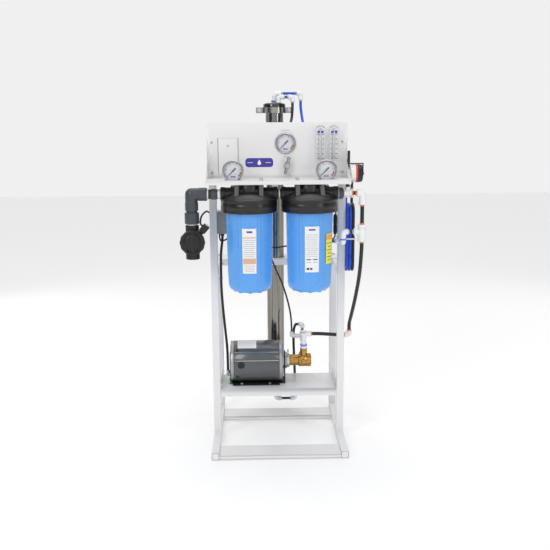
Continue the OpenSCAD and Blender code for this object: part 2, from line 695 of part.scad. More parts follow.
// A crank on the cap's pin: plate up the end face, arm over the body, upright grip
module switch_lever() color([0.1, 0.1, 0.1]) place() translate(switch_c) difference() {
    union() {
        translate([43.5, 0, 0]) rotate([0, 90, 0]) cylinder(r = 7, h = 3);
        translate([43.5, -5, 0]) cube([3, 10, switch_r + 4.5]);
        translate([-4, -5, switch_r + 1]) cube([50.5, 10, 3.5]);
        translate([-6, -4.5, switch_r + 1]) cube([9, 9, 43]);
    }
    translate([40, 0, 0]) rotate([0, 90, 0]) cylinder(r = 3 + fit_gap, h = 10);
}

// ---------- push-in fittings and tubing ----------

module tube_elbows() color("white") place() {
    for (e = elbows) {
        bar(e[0], e[1], e[3]);
        bar(e[0], e[2], e[3]);
        translate(e[0]) sphere(r = e[3]);
    }
    bar([212, filter_y, 730], [212, filter_y, 712], 9);
    translate([212, filter_y, 712]) sphere(r = 9);
    bar([212, filter_y, 712], [212, -40, 712], 9);
    translate([212, -40, 712]) sphere(r = 9);
    bar([212, -40, 712], [190, -40, 712], 9);
}

module tube_tees() color("white") place() {
    pipe([212, filter_y, port_z], [237, filter_y, port_z], 10.5, 5);
    bar([225, filter_y, port_z + 8], [225, filter_y, 896], 9);
    bar([riser_x, filter_y, 773], [riser_x, filter_y, 717], 14);
    bar([riser_x, filter_y, 749], [246, filter_y, 749], 11);
    bar([port_x, axis_y, 304], [port_x, axis_y, 369], 11);
    bar([port_x, axis_y, 357], [118, axis_y, 357], 11);
    bar([91, 138, 320], [91, 138, 352], 9.5);
    bar([91, 138, 336], [66, 138, 336], 8);
    bar([valve_x + 20, 22, valve_z], [78, 22, valve_z], 8);
    bar([66, 22, valve_z], [66, 22, 945], 8);
    for (u = [blue_union, black_union]) bar([u[0], u[1], union_low], [u[0], u[1], 876], 8);
}

module tube_collets() color("orange") place() for (c = collets)
    bar(c[0], c[0] + collet * c[1], c[2] + 1.8);

module locking_clips() color("royalblue") place() {
    pipe([vessel_x, 245, 1171], [vessel_x, 245, 1177], 11.6, 9.6);
    pipe([port_x, axis_y, 314], [port_x, axis_y, 319], 13, 11.1);
    pipe([212, filter_y, 722], [212, filter_y, 727], 11, 9.1);
    pipe([91, 138, 270], [91, 138, 274], 11.6, 9.6);
}

module black_tubes() color([0.1, 0.1, 0.1]) place() {
    bar([242, filter_y, port_z], [250, filter_y, port_z], r12);
    bar([233, filter_y, 749], [241, filter_y, 749], r38);
    bar([91, 138, 281], [91, 138, 315], r38);
    bar([91, 138, 357], [91, 138, 363], r38);
    bar([20, 245, 57], [49, 245, 57], r38);
    bar([35, 225, 1188], [41, 225, 1188], r38);
    hose(riser_route, r12, [0, 1, 0], 12);
    hose(feed_route, r12, [1, 0, 0], 12);
    hose(inlet_route, r12, [0, 1, 0], 12);
    hose(outlet_route, r38, [1, -1, 0]);
    hose(gauge_route, r14, [1, 0, 0.2], 8);
    hose(recycle_route, r38, [1, -0.3, 0]);
    hose(concentrate_route, r38, [1, 0, 0]);
    hose(waste_route, r38, [0, 0, 1]);
    hose(waste_out_route, r38, [1, 0, 0.6]);
}

module blue_tube() color("royalblue") place() {
    bar([27, 245, 1201], [73, 245, 1201], r38);
    hose(permeate_route, r38, [1, 0, 0.3]);
    hose(product_out_route, r38, [1, 0, 0.6]);
}

// One hank: racetrack turns with a lead down from the union, y outwards from the hank's own middle
module hank_outline(width) {
    difference() {
        union() for (z = [hank_low, hank_high]) translate([0, z]) circle(hank_bend + width);
        union() for (z = [hank_low, hank_high]) translate([0, z]) circle(hank_bend - width);
        translate([-50, hank_low]) square([100, hank_high - hank_low]);
    }
    for (s = [-1, 1]) translate([s * hank_bend - width, hank_low])
        square([2 * width, hank_high - hank_low]);
}

module hank(x, turns) translate([x, hank_y, 0]) rotate([90, 0, 90]) {
    linear_extrude(turns * hose_d) hank_outline(r38);
    linear_extrude(hose_d) translate([hank_bend - r38, hank_high]) square([hose_d, union_low - hank_high]);
}

module blue_hank() color("royalblue") place() hank(hank_x, 2);
module black_hank() color([0.1, 0.1, 0.1]) place() hank(hank_x + 2 * hose_d + 0.8, 1);

module hank_tie() color("white") place() translate([0, 0, 712]) linear_extrude(5) difference() {
    translate([bay - 1.5, -15]) square([60, 70.5]);
    translate([bay - 0.2, -13.7]) square([57.4, 67.9]);
}

// ---------- membrane vessel ----------

// Upper end in its own frame: z 0 is the cap's outer face and the shell lies below
module at_ends() for (s = [0, 1]) translate([vessel_x, vessel_y, s == 1 ? vessel_top : vessel_bottom])
    mirror([0, 0, 1 - s]) children();

module vessel_shell() color("silver") place() {
    translate([vessel_x, vessel_y, vessel_bottom + 30]) difference() {
        cylinder(r = shell_r, h = vessel_top - vessel_bottom - 60);
        translate([0, 0, -1]) cylinder(r = shell_r - 2, h = vessel_top - vessel_bottom);
    }
    at_ends() translate([0, 0, -30]) difference() {
        cylinder(r = flange_r, h = 5);
        translate([0, 0, -1]) cylinder(r = shell_r - 2, h = 7);
    }
}

module vessel_end_caps() color([0.1, 0.1, 0.1]) place() at_ends() {
    translate([0, 0, -cap_h]) cylinder(r = cap_r, h = cap_h - 4);
    translate([0, 0, -4]) cylinder(r1 = cap_r, r2 = cap_r - 8, h = 4);
    translate([0, 0, -25]) cylinder(r = flange_r, h = 5);
    translate([0, 0, -45]) cylinder(r = shell_r - 2.1, h = 31);
}

module clamp_half(s) difference() {
    union() {
        translate([0, 0, -cap_h - clamp_h - 0.2]) cylinder(r = clamp_r, h = clamp_h);
        for (x = [-66, 40]) translate([x, 0, -cap_h - clamp_h - 0.2]) translate([0, s > 0 ? 0 : -10, 0])
            cube([26, 10, clamp_h]);
    }
    translate([0, 0, -cap_h - clamp_h - 1]) cylinder(r = shell_r + 0.3, h = clamp_h + 2);
    translate([0, 0, -30.2]) cylinder(r = flange_r + 0.2, h = 10.4);
    translate([-80, s > 0 ? -79 : -1, -60]) cube([160, 80, 80]);
    for (x = [-54, 54]) translate([x, 0, -cap_h - clamp_h / 2]) rotate([90, 0, 0])
        cylinder(r = 3.2, h = 40, center = true);
}

module vessel_clamps() color("silver") place() {
    at_ends() {
        clamp_half(-1);
        clamp_half(1);
    }
    translate([vessel_x, vessel_y, side_rail_top - 20]) difference() {
        union() {
            cylinder(r = 39, h = 20);
            translate([-60, -9, 15]) cube([120, 18, 5]);
        }
        translate([0, 0, -1]) cylinder(r = shell_r + 0.05, h = 22);
    }
}

module membrane_element() color("white") place() translate([vessel_x, vessel_y, 140]) difference() {
    cylinder(r = 28.5, h = 980);
    translate([0, 0, -1]) cylinder(r = 8, h = 982);
}

// ---------- motor and pump: local z runs along +X on the shaft's axis ----------

module on_shaft(x) translate([x, axis_y, axis_z]) rotate([0, 90, 0]) children();
module shaft_ring(x0, x1, r, bore) on_shaft(x0) difference() {
    cylinder(r = r, h = x1 - x0);
    translate([0, 0, -1]) cylinder(r = bore, h = x1 - x0 + 2);
}

module motor_shell() color("slategray") place() shaft_ring(shell_x0, shell_x1, motor_r, motor_r - 3);

module motor_endbells() color("darkgray") place() {
    difference() {
        union() {
            on_shaft(bell_x0) cylinder(r1 = motor_r - 4, r2 = motor_r - 1, h = shell_x0 - bell_x0);
            bar([bell_x0 - 10.5, 80, 215], [bell_x0 + 2, 80, 215], 6.5);
            bar([bell_x0 - 10.5, 80, 215], [bell_x0 - 10.5, 80, 229], 6.5);
            translate([bell_x0 - 10.5, 80, 215]) sphere(r = 6.5);
        }
        on_shaft(bell_x0 + 4) cylinder(r = motor_r - 8, h = 20);
    }
    shaft_ring(bell_x0 + 2, bell_x0 + 10, 18, shaft_r + fit_gap);
    difference() {
        union() {
            on_shaft(shell_x1) cylinder(r1 = motor_r - 1, r2 = motor_r - 5, h = 12);
            on_shaft(shell_x1 + 12) cylinder(r = 30, h = 15.3);
            on_shaft(32) cylinder(r = 22.9, h = 5);
        }
        on_shaft(shell_x1 - 1) cylinder(r = motor_r - 8, h = 9);
        on_shaft(0) cylinder(r = shaft_r + fit_gap, h = 40);
    }
}

module motor_base() color("dimgray") place() difference() {
    union() {
        translate([-161, 34, shelf_top]) cube([166, 2 * (axis_y - 34), cradle]);
        translate([bell_x0 - 3, axis_y - 36, shelf_top]) cube([bell_x1 - bell_x0 + 6, 72, cradle]);
        for (x = [bell_x0 - 3, bell_x1]) translate([x, 0, 0]) rotate([90, 0, 90]) linear_extrude(3)
            polygon([[axis_y - 36, shelf_top], [axis_y + 36, shelf_top], [axis_y + 30, axis_z],
                [axis_y - 30, axis_z]]);
        for (x = [bell_x0 - 3, bell_x1]) on_shaft(x) cylinder(r = 34, h = 3);
    }
    on_shaft(bell_x1 - 5) cylinder(r = 30.05, h = 20);
    translate([bell_x0 - 10, 80, 215]) rotate([0, 90, 0]) cylinder(r = 7, h = 12);
    motor_bolts() cylinder(r = 3.3, h = 20, center = true);
}

module motor_stator() color("peru") place() shaft_ring(-130, -30, motor_r - 3.05, 43);

module motor_rotor() color("silver") place() {
    on_shaft(bell_x0 + 4.5) cylinder(r = shaft_r, h = 62 - bell_x0 - 4.5);
    on_shaft(-125) cylinder(r = 42, h = 90);
}

module pump_clamp() color("silver") place() {
    shaft_ring(33, 41, 26, 23);
    translate([34.5, axis_y - 10, axis_z + 25]) cube([5, 20, 7]);
    bar([37, axis_y - 16, axis_z + 33], [37, axis_y + 16, axis_z + 33], 2.5);
    translate([34.5, axis_y - 4, axis_z + 25]) cube([5, 8, 9]);
}

module pump_body() color("goldenrod") place() difference() {
    union() {
        on_shaft(37) cylinder(r = 22.9, h = 5);
        on_shaft(41) cylinder(r = barrel_r, h = pump_x0 - 8);
        on_shaft(74) cylinder(r = pump_r, h = pump_x1 - 74);
        translate([port_x, axis_y, axis_z + 10]) cylinder(r = 13, h = 34);
        bar([91, axis_y + 10, axis_z], [91, 124, axis_z], 11);
        bar([92, axis_y - 10, axis_z + 2], [92, axis_y - 33, axis_z + 2], 8);
    }
    on_shaft(36) cylinder(r = shaft_r + fit_gap, h = 26.4);
    on_shaft(61) cylinder(r = 6 + fit_gap, h = 20);
    on_shaft(80) translate([0, 1.5, 0]) cylinder(r = 15, h = 28);
    translate([port_x, axis_y, axis_z + 14]) cylinder(r = 7, h = 27);
    bar([91, axis_y + 14, axis_z], [91, 121, axis_z], 6);
}

module pump_rotor() color("dimgray") place() difference() {
    union() {
        on_shaft(62) cylinder(r = 6, h = 22);
        on_shaft(82) cylinder(r = 12, h = 24);
    }
    for (k = [0:5]) on_shaft(81) rotate([0, 0, 60 * k]) translate([7, -0.8, 0]) cube([8, 1.6, 30]);
}

// ---------- electrics ----------

module junction_box() color("gray") place() {
    translate([-bay, 14, 732]) cube([76, 54, 76]);
    translate([-bay, 9, 732]) cube([76, 5, 76]);
}

module cables() color([0.08, 0.08, 0.08]) place() {
    hose(coil_cable_route, 3, [0, 0.4, 1], 8);
    hose(motor_cord_route, 4.5, [0, 1, 0.1]);
    hose(switch_cable_route, 2.6, [1, 0, 0.7], 8);
    bar([198, 40, 792], [198, 40, 724], 7);
    hose(cross_cable_route, 2.6, [0.1, 1, 0], 8);
}

// ---------- the whole unit ----------

base_rails();
front_uprights();
rear_frame_tubes();
base_crossbars();
pump_shelf();
vessel_plate();
instrument_panel();
access_cover();
badge();
fasteners();
gauge_cases();
gauge_dials();
gauge_lenses();
feed_pointer();
filtered_pointer();
membrane_pointer();
flowmeter_bodies();
product_float();
waste_float();
needle_valve_body();
needle_valve_handle();
needle_valve_needle();
filter_heads();
sediment_sump();
carbon_sump();
sediment_cartridge();
carbon_cartridge();
sump_seals();
pipe_fittings();
thread_tape();
solenoid_body();
solenoid_bonnet();
solenoid_coil();
solenoid_plunger();
switch_body();
switch_cap();
switch_lever();
tube_elbows();
tube_tees();
tube_collets();
locking_clips();
black_tubes();
blue_tube();
blue_hank();
black_hank();
hank_tie();
vessel_shell();
vessel_end_caps();
vessel_clamps();
membrane_element();
motor_shell();
motor_endbells();
motor_base();
motor_stator();
motor_rotor();
pump_clamp();
pump_body();
pump_rotor();
junction_box();
cables();
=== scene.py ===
"""Looks of the reverse osmosis unit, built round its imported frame.

Sizes in this file are millimetres in the stand's own coordinates: X 0 on the stand's centre line,
Y 0 on the front uprights' front face, Z 0 on the floor. at() moves them into the row's frame.
"""
from math import cos, pi, radians, sin, sqrt, tau

import bmesh
import bpy
from mathutils import Matrix, Vector


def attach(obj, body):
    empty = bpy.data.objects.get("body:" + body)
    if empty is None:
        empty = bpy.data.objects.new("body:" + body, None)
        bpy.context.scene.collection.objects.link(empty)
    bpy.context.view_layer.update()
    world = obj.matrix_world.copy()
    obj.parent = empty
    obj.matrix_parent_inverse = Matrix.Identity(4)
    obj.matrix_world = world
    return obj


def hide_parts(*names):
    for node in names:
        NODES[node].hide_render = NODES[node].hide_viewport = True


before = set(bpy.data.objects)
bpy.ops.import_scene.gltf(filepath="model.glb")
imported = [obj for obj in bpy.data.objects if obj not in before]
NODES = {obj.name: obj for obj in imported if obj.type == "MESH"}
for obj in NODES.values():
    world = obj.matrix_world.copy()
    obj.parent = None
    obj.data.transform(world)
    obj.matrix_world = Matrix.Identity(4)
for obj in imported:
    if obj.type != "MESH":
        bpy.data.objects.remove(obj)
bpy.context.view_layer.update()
MM = 0.001
STAND = Vector((13.0, -59.0, 0.0))
X, Y, Z = Vector((1, 0, 0)), Vector((0, 1, 0)), Vector((0, 0, 1))

# Places that several pieces share
PANEL_FACE = -2.0
UPRIGHT_X = 215.9
COVER_X, COVER_Z = -161.8, 994.5
FILTER_X = (-93.5, 101.0)
FILTER_Y = -84.0
PORT_Z = 875.5
FEED_X = -279.6
METER_X = (140.5, 185.3)
METER_Z = 968.0
GAUGES = {"feed": (-144.0, -84.0, 949.5), "filtered": (155.5, -84.0, 949.5), "membrane": (27.3, 1.0, 1033.0)}
NEEDLE_VALVE = Vector((32, 0, 961))
BONNET = Vector((-277.5, FILTER_Y, 723.6))
COIL_TILT = 42
SWITCH = Vector((231.5, -60.0, 937.0))
VESSEL = Vector((-3, 245, 0))
AXLE = Vector((0, 90, 260))


def at(x, y, z):
    return (Vector((x, y, z)) + STAND) * MM


# Camera, light and floor
scene = bpy.context.scene
scene.view_settings.view_transform = "Standard"
STUDIO_HALF = 9
FLOOR_DROP = 0.0004
FLOOR_GLOW = 0.22


def link_object(name, data):
    obj = bpy.data.objects.new(name, data)
    scene.collection.objects.link(obj)
    return obj


def add_camera():
    data = bpy.data.cameras.new("camera")
    data.lens = 50.2
    data.sensor_width = 36.0
    data.clip_start = 0.05
    data.clip_end = 60.0
    cam = link_object("camera", data)
    forward = Vector((0.02107, 0.98001, -0.19785)).normalized()
    roll = Matrix.Rotation(-0.007, 3, "Z")
    cam.rotation_euler = (forward.to_track_quat("-Z", "Y").to_matrix() @ roll).to_euler()
    cam.location = at(-65.1, -2560.6, 1107.9)
    scene.camera = cam


def area_light(name, place, target_z, width, height, power):
    data = bpy.data.lights.new(name, "AREA")
    data.shape = "RECTANGLE"
    data.size = width
    data.size_y = height
    data.energy = power
    lamp = link_object(name, data)
    lamp.location = place
    lamp.rotation_euler = (Vector((0, 0, target_z)) - Vector(place)).to_track_quat("-Z", "Y").to_euler()


def add_world():
    """A pale studio. What metal and black plastic mirror is darker to the sides than the backdrop is."""
    world = bpy.data.worlds.new("studio")
    scene.world = world
    world.use_nodes = True
    tree = world.node_tree
    tree.nodes.clear()
    add, link = tree.nodes.new, tree.links.new
    out = add("ShaderNodeOutputWorld")
    sky = add("ShaderNodeBackground")
    coords = add("ShaderNodeTexCoord")
    split = add("ShaderNodeSeparateXYZ")
    side = add("ShaderNodeMath")
    side.operation = "ABSOLUTE"
    ramp = add("ShaderNodeValToRGB")
    up = add("ShaderNodeMapRange")
    up.inputs["From Min"].default_value = 0.35
    up.inputs["From Max"].default_value = 0.9
    seen = add("ShaderNodeLightPath")
    overhead, backdrop = add("ShaderNodeMix"), add("ShaderNodeMix")
    for mix, colour in ((overhead, (1.0, 1.0, 1.0, 1)), (backdrop, (0.97, 0.97, 0.97, 1))):
        mix.data_type = "RGBA"
        mix.inputs["B"].default_value = colour
    stops = ramp.color_ramp.elements
    dark = (0.10, 0.10, 0.11, 1)
    stops[0].position, stops[0].color = 0.42, (1.0, 1.0, 1.0, 1)
    stops[1].position, stops[1].color = 0.62, dark
    stops.new(0.93).color = dark
    stops.new(0.985).color = (0.75, 0.75, 0.75, 1)
    link(coords.outputs["Generated"], split.inputs[0])
    link(split.outputs["X"], side.inputs[0])
    link(side.outputs[0], ramp.inputs["Fac"])
    link(ramp.outputs["Color"], overhead.inputs["A"])
    link(split.outputs["Z"], up.inputs["Value"])
    link(up.outputs[0], overhead.inputs["Factor"])
    link(seen.outputs["Is Camera Ray"], backdrop.inputs["Factor"])
    link(overhead.outputs["Result"], backdrop.inputs["A"])
    link(backdrop.outputs["Result"], sky.inputs["Color"])
    sky.inputs["Strength"].default_value = 0.90
    link(sky.outputs[0], out.inputs[0])


def add_floor():
    mesh = bpy.data.meshes.new("studio_floor")
    w = STUDIO_HALF
    mesh.from_pydata([(-w, -w, 0), (w, -w, 0), (w, w, 0), (-w, w, 0)], [], [(0, 1, 2, 3)])
    floor = link_object("studio_floor", mesh)
    floor.location = (0, 0, -FLOOR_DROP)
    mat = principled("studio_white", (0.80, 0.80, 0.80), 0.7, grain=0.02, grain_scale=40, tone=0.004)
    shader = mat.node_tree.nodes["Principled BSDF"]
    shader.inputs["Emission Color"].default_value = (1, 1, 1, 1)
    shader.inputs["Emission Strength"].default_value = FLOOR_GLOW
    mesh.materials.append(mat)


# Materials
def principled(name, colour, rough=0.5, metal=0.0, coat=0.0, grain=0.0, grain_scale=400.0, tone=0.04,
               tone_scale=14.0, stretch=(1, 1, 1), alpha=1.0, ior=1.5, rough_spread=0.08):
    """A material whose colour, roughness and surface all vary a little, as a real finish does; a large tone
    drawn out by stretch paints reflection streaks instead.
    """
    mat = bpy.data.materials.new(name)
    mat.use_nodes = True
    tree = mat.node_tree
    add, link = tree.nodes.new, tree.links.new
    shader = tree.nodes["Principled BSDF"]
    coords = add("ShaderNodeTexCoord")
    mapping = add("ShaderNodeMapping")
    mapping.inputs["Scale"].default_value = stretch
    link(coords.outputs["Object"], mapping.inputs["Vector"])
    cloud = add("ShaderNodeTexNoise")
    cloud.inputs["Scale"].default_value = tone_scale
    cloud.inputs["Detail"].default_value = 4.0
    link(mapping.outputs[0], cloud.inputs["Vector"])
    tint = add("ShaderNodeMix")
    tint.data_type = "RGBA"
    tint.inputs["A"].default_value = [c * (1 - tone) for c in colour] + [1]
    tint.inputs["B"].default_value = [min(1.0, c * (1 + tone)) for c in colour] + [1]
    link(cloud.outputs["Fac"], tint.inputs["Factor"])
    link(tint.outputs["Result"], shader.inputs["Base Color"])
    wear = add("ShaderNodeMapRange")
    wear.inputs["To Min"].default_value = max(0.02, rough - rough_spread)
    wear.inputs["To Max"].default_value = min(1.0, rough + rough_spread)
    link(cloud.outputs["Fac"], wear.inputs["Value"])
    link(wear.outputs[0], shader.inputs["Roughness"])
    shader.inputs["Metallic"].default_value = metal
    shader.inputs["IOR"].default_value = ior
    if coat:
        shader.inputs["Coat Weight"].default_value = coat
        shader.inputs["Coat Roughness"].default_value = 0.12
    if alpha < 1:
        shader.inputs["Alpha"].default_value = alpha
    if grain:
        speck = add("ShaderNodeTexNoise")
        speck.inputs["Scale"].default_value = grain_scale
        speck.inputs["Detail"].default_value = 3.0
        link(mapping.outputs[0], speck.inputs["Vector"])
        bump = add("ShaderNodeBump")
        bump.inputs["Strength"].default_value = grain
        bump.inputs["Distance"].default_value = 0.0005
        link(speck.outputs["Fac"], bump.inputs["Height"])
        link(bump.outputs[0], shader.inputs["Normal"])
    return mat


add_camera()
add_world()
add_floor()
area_light("key", (-1.9, -2.6, 2.4), 0.6, 0.9, 1.6, 24)
area_light("fill", (2.2, -2.4, 1.5), 0.6, 0.5, 2.0, 13)
area_light("top", (0.1, 0.2, 3.2), 0.8, 2.6, 1.6, 15)
area_light("rim_left", (-1.6, 1.9, 1.6), 0.7, 0.5, 2.2, 7)
area_light("rim_right", (1.8, 1.9, 1.8), 0.7, 0.5, 2.2, 5)

POWDER = principled("powder_coat", (0.80, 0.80, 0.808), 0.34, coat=0.15, grain=0.10, grain_scale=900,
                    tone=0.012)
BLACK = principled("black_nylon", (0.008, 0.008, 0.009), 0.40, grain=0.14, grain_scale=520, tone=0.2)
DARK_STEEL = principled("dark_polished_cap", (0.075, 0.072, 0.068), 0.16, 1.0, coat=0.3, grain=0.08,
                        grain_scale=400, tone=0.25)
HANDLE = principled("brushed_nickel", (0.40, 0.39, 0.37), 0.28, 1.0, grain=0.15, grain_scale=500, tone=0.06)
HEAD = principled("head_black", (0.008, 0.008, 0.009), 0.33, coat=0.1, grain=0.10, grain_scale=260,
                  stretch=(1, 1, 9), tone=0.2)
# Painted sheen: a lighter black than the heads' own, standing in for the highlights on the glossy posts and
# their webs.
POST_PAINTED_SHEEN = principled("post_black_painted_sheen", (0.085, 0.085, 0.09), 0.22, coat=0.3, grain=0.05, grain_scale=300, tone=0.1)
BLUE = principled("sump_blue", (0.10, 0.37, 0.88), 0.28, coat=0.3, grain=0.05, grain_scale=260, tone=0.05)
# Painted reflection: the strong tone, drawn out upright, streaks the polished steel dark and light where its
# reflections fall.
REFLECTION_STREAKED_STEEL = principled("polished_stainless_painted_reflections", (0.27, 0.255, 0.232), 0.12, 1.0, grain=0.05, grain_scale=700,
                   stretch=(1, 1, 0.03), tone=0.78, tone_scale=52.0, rough_spread=0.04)
CAST = principled("cast_stainless", (0.36, 0.355, 0.34), 0.17, 1.0, grain=0.25, grain_scale=420, tone=0.06)
CHROME = principled("gauge_rim", (0.50, 0.49, 0.48), 0.10, 1.0, grain=0.03, grain_scale=500, tone=0.03)
ZINC = principled("zinc_plate", (0.62, 0.62, 0.60), 0.30, 1.0, grain=0.12, grain_scale=600, tone=0.07)
BRASS = principled("cast_brass", (0.50, 0.285, 0.075), 0.26, 1.0, grain=0.35, grain_scale=380, tone=0.10)
MOTOR = principled("motor_enamel", (0.078, 0.083, 0.090), 0.22, coat=0.5, grain=0.06, grain_scale=300,
                   tone=0.05)
BELL = principled("cast_aluminium", (0.42, 0.43, 0.44), 0.40, 0.9, grain=0.3, grain_scale=320, tone=0.08)
IRON = principled("stator_iron", (0.16, 0.12, 0.09), 0.5, 0.6, grain=0.2, tone=0.1)
WHITE = principled("white_acetal", (0.83, 0.83, 0.82), 0.38, grain=0.04, grain_scale=260, tone=0.02)
FITTING = principled("fitting_white", (0.86, 0.87, 0.88), 0.28, coat=0.3, grain=0.03, grain_scale=260,
                     tone=0.015)
COLLET_GREY = principled("collet_grey", (0.42, 0.47, 0.60), 0.35, grain=0.04, tone=0.04)
TAPE = principled("ptfe_tape", (0.88, 0.88, 0.88), 0.6, grain=0.5, grain_scale=700, stretch=(6, 1, 1),
                  tone=0.03)
ORANGE = principled("collet_orange", (0.88, 0.27, 0.08), 0.35, grain=0.04, tone=0.05)
CLIP = principled("clip_blue", (0.10, 0.22, 0.80), 0.35, grain=0.04, tone=0.05)
TUBE_BLACK = principled("tube_black", (0.012, 0.012, 0.013), 0.30, grain=0.05, grain_scale=200, tone=0.2)
TUBE_BLUE = principled("tube_blue", (0.015, 0.085, 0.60), 0.28, grain=0.04, grain_scale=200, tone=0.08)
CABLE = principled("cable_black", (0.010, 0.010, 0.011), 0.5, grain=0.15, grain_scale=350, tone=0.2)
PVC = principled("grey_pvc", (0.052, 0.060, 0.072), 0.34, grain=0.06, grain_scale=260, tone=0.08)
BOX = principled("box_grey", (0.30, 0.30, 0.30), 0.42, grain=0.2, grain_scale=500, tone=0.05)
SEAL = principled("seal_rubber", (0.015, 0.015, 0.015), 0.6, grain=0.1, tone=0.2)
FIBRE = principled("cartridge_fibre", (0.78, 0.78, 0.76), 0.8, grain=0.8, grain_scale=500, stretch=(1, 1, 6),
                   tone=0.05)
ACRYLIC = principled("clear_acrylic", (0.90, 0.92, 0.94), 0.08, grain=0.02, grain_scale=60, tone=0.02,
                     alpha=0.30, ior=1.49, rough_spread=0.02)
LENS = principled("gauge_lens", (0.90, 0.93, 0.96), 0.04, grain=0.015, grain_scale=40, tone=0.01,
                  alpha=0.05, rough_spread=0.01)
DIAL = principled("dial_white", (0.74, 0.77, 0.82), 0.45, grain=0.02, tone=0.02)
INK = principled("dial_ink", (0.02, 0.02, 0.025), 0.5, grain=0.05, tone=0.2)
RED = principled("dial_red", (0.72, 0.05, 0.04), 0.4, grain=0.04, tone=0.06)
INK_BLUE = principled("print_blue", (0.07, 0.05, 0.42), 0.45, grain=0.04, tone=0.06)
PAPER = principled("label_paper", (0.86, 0.86, 0.87), 0.42, grain=0.05, grain_scale=300, tone=0.02)
PALE_INK = principled("label_grey_print", (0.50, 0.53, 0.58), 0.5, grain=0.04, tone=0.05)
TAN_INK = principled("label_tan_print", (0.72, 0.45, 0.30), 0.5, grain=0.04, tone=0.05)
# Painted shade: this dark grey draws the shadow line beside the access cover and the dark edges seen in the
# clear flow meters.
EDGE_SHADE = principled("painted_edge_shade", (0.13, 0.14, 0.15), 0.5, grain=0.04, tone=0.06)
YELLOW = principled("sticker_yellow", (0.90, 0.85, 0.04), 0.4, grain=0.05, tone=0.03)
ORANGE_INK = principled("sticker_orange", (0.93, 0.38, 0.06), 0.4, grain=0.05, tone=0.03)
BADGE = principled("badge_blue", (0.045, 0.03, 0.33), 0.30, coat=0.2, grain=0.03, tone=0.05)
# Painted highlight: a bright colour for the gloss lines along the motor can.
HIGHLIGHT_STRIP = principled("painted_highlight_strip", (0.80, 0.80, 0.78), 0.16, 1.0, grain=0.03, tone=0.03)
GREEN = principled("earth_green", (0.03, 0.30, 0.12), 0.45, grain=0.05, tone=0.06)
PLATE = principled("nameplate", (0.74, 0.75, 0.74), 0.35, 0.3, grain=0.08, tone=0.04)
BLACK_STEEL = principled("black_cradle", (0.022, 0.022, 0.024), 0.38, coat=0.2, grain=0.12, grain_scale=500,
                         tone=0.15)

# Mesh building
WELD = 0.0005
CAD_WELD = 0.00002
# The radius at which an outline closes on its own axis
TIP = 0.01
# Takes a face drawn on X and Y, with Z towards the viewer, to the unit's front
FRONT = Matrix(((1, 0, 0, 0), (0, 0, -1, 0), (0, 1, 0, 0), (0, 0, 0, 1)))


def shift(place):
    return Matrix.Translation(Vector(place))


def spin(degrees, axis):
    return Matrix.Rotation(radians(degrees), 4, axis)


def orient(axis, up=None):
    """Rotation that takes +Z to the axis."""
    axis = Vector(axis).normalized()
    side = up or (Y if abs(axis.y) < 0.9 else Z)
    x = side.cross(axis).normalized()
    return Matrix((x, axis.cross(x), axis)).transposed().to_4x4()


def polar(r, degrees):
    return r * cos(radians(degrees)), r * sin(radians(degrees))


def rounded(points, steps=3):
    """The CAD routes' own rounding: each corner is cut at a quarter, again and again."""
    p = [Vector(q) for q in points]
    for _ in range(steps):
        cut = [p[0]]
        for a, b in zip(p, p[1:]):
            cut += [a * 0.75 + b * 0.25, a * 0.25 + b * 0.75]
        p = cut + [p[-1]]
    return p


def soften(obj, width, sharp, segments=2):
    edge = obj.modifiers.new("edge", "BEVEL")
    edge.width = width * MM
    edge.segments = segments
    edge.limit_method = "ANGLE"
    edge.angle_limit = radians(sharp)
    edge.harden_normals = True


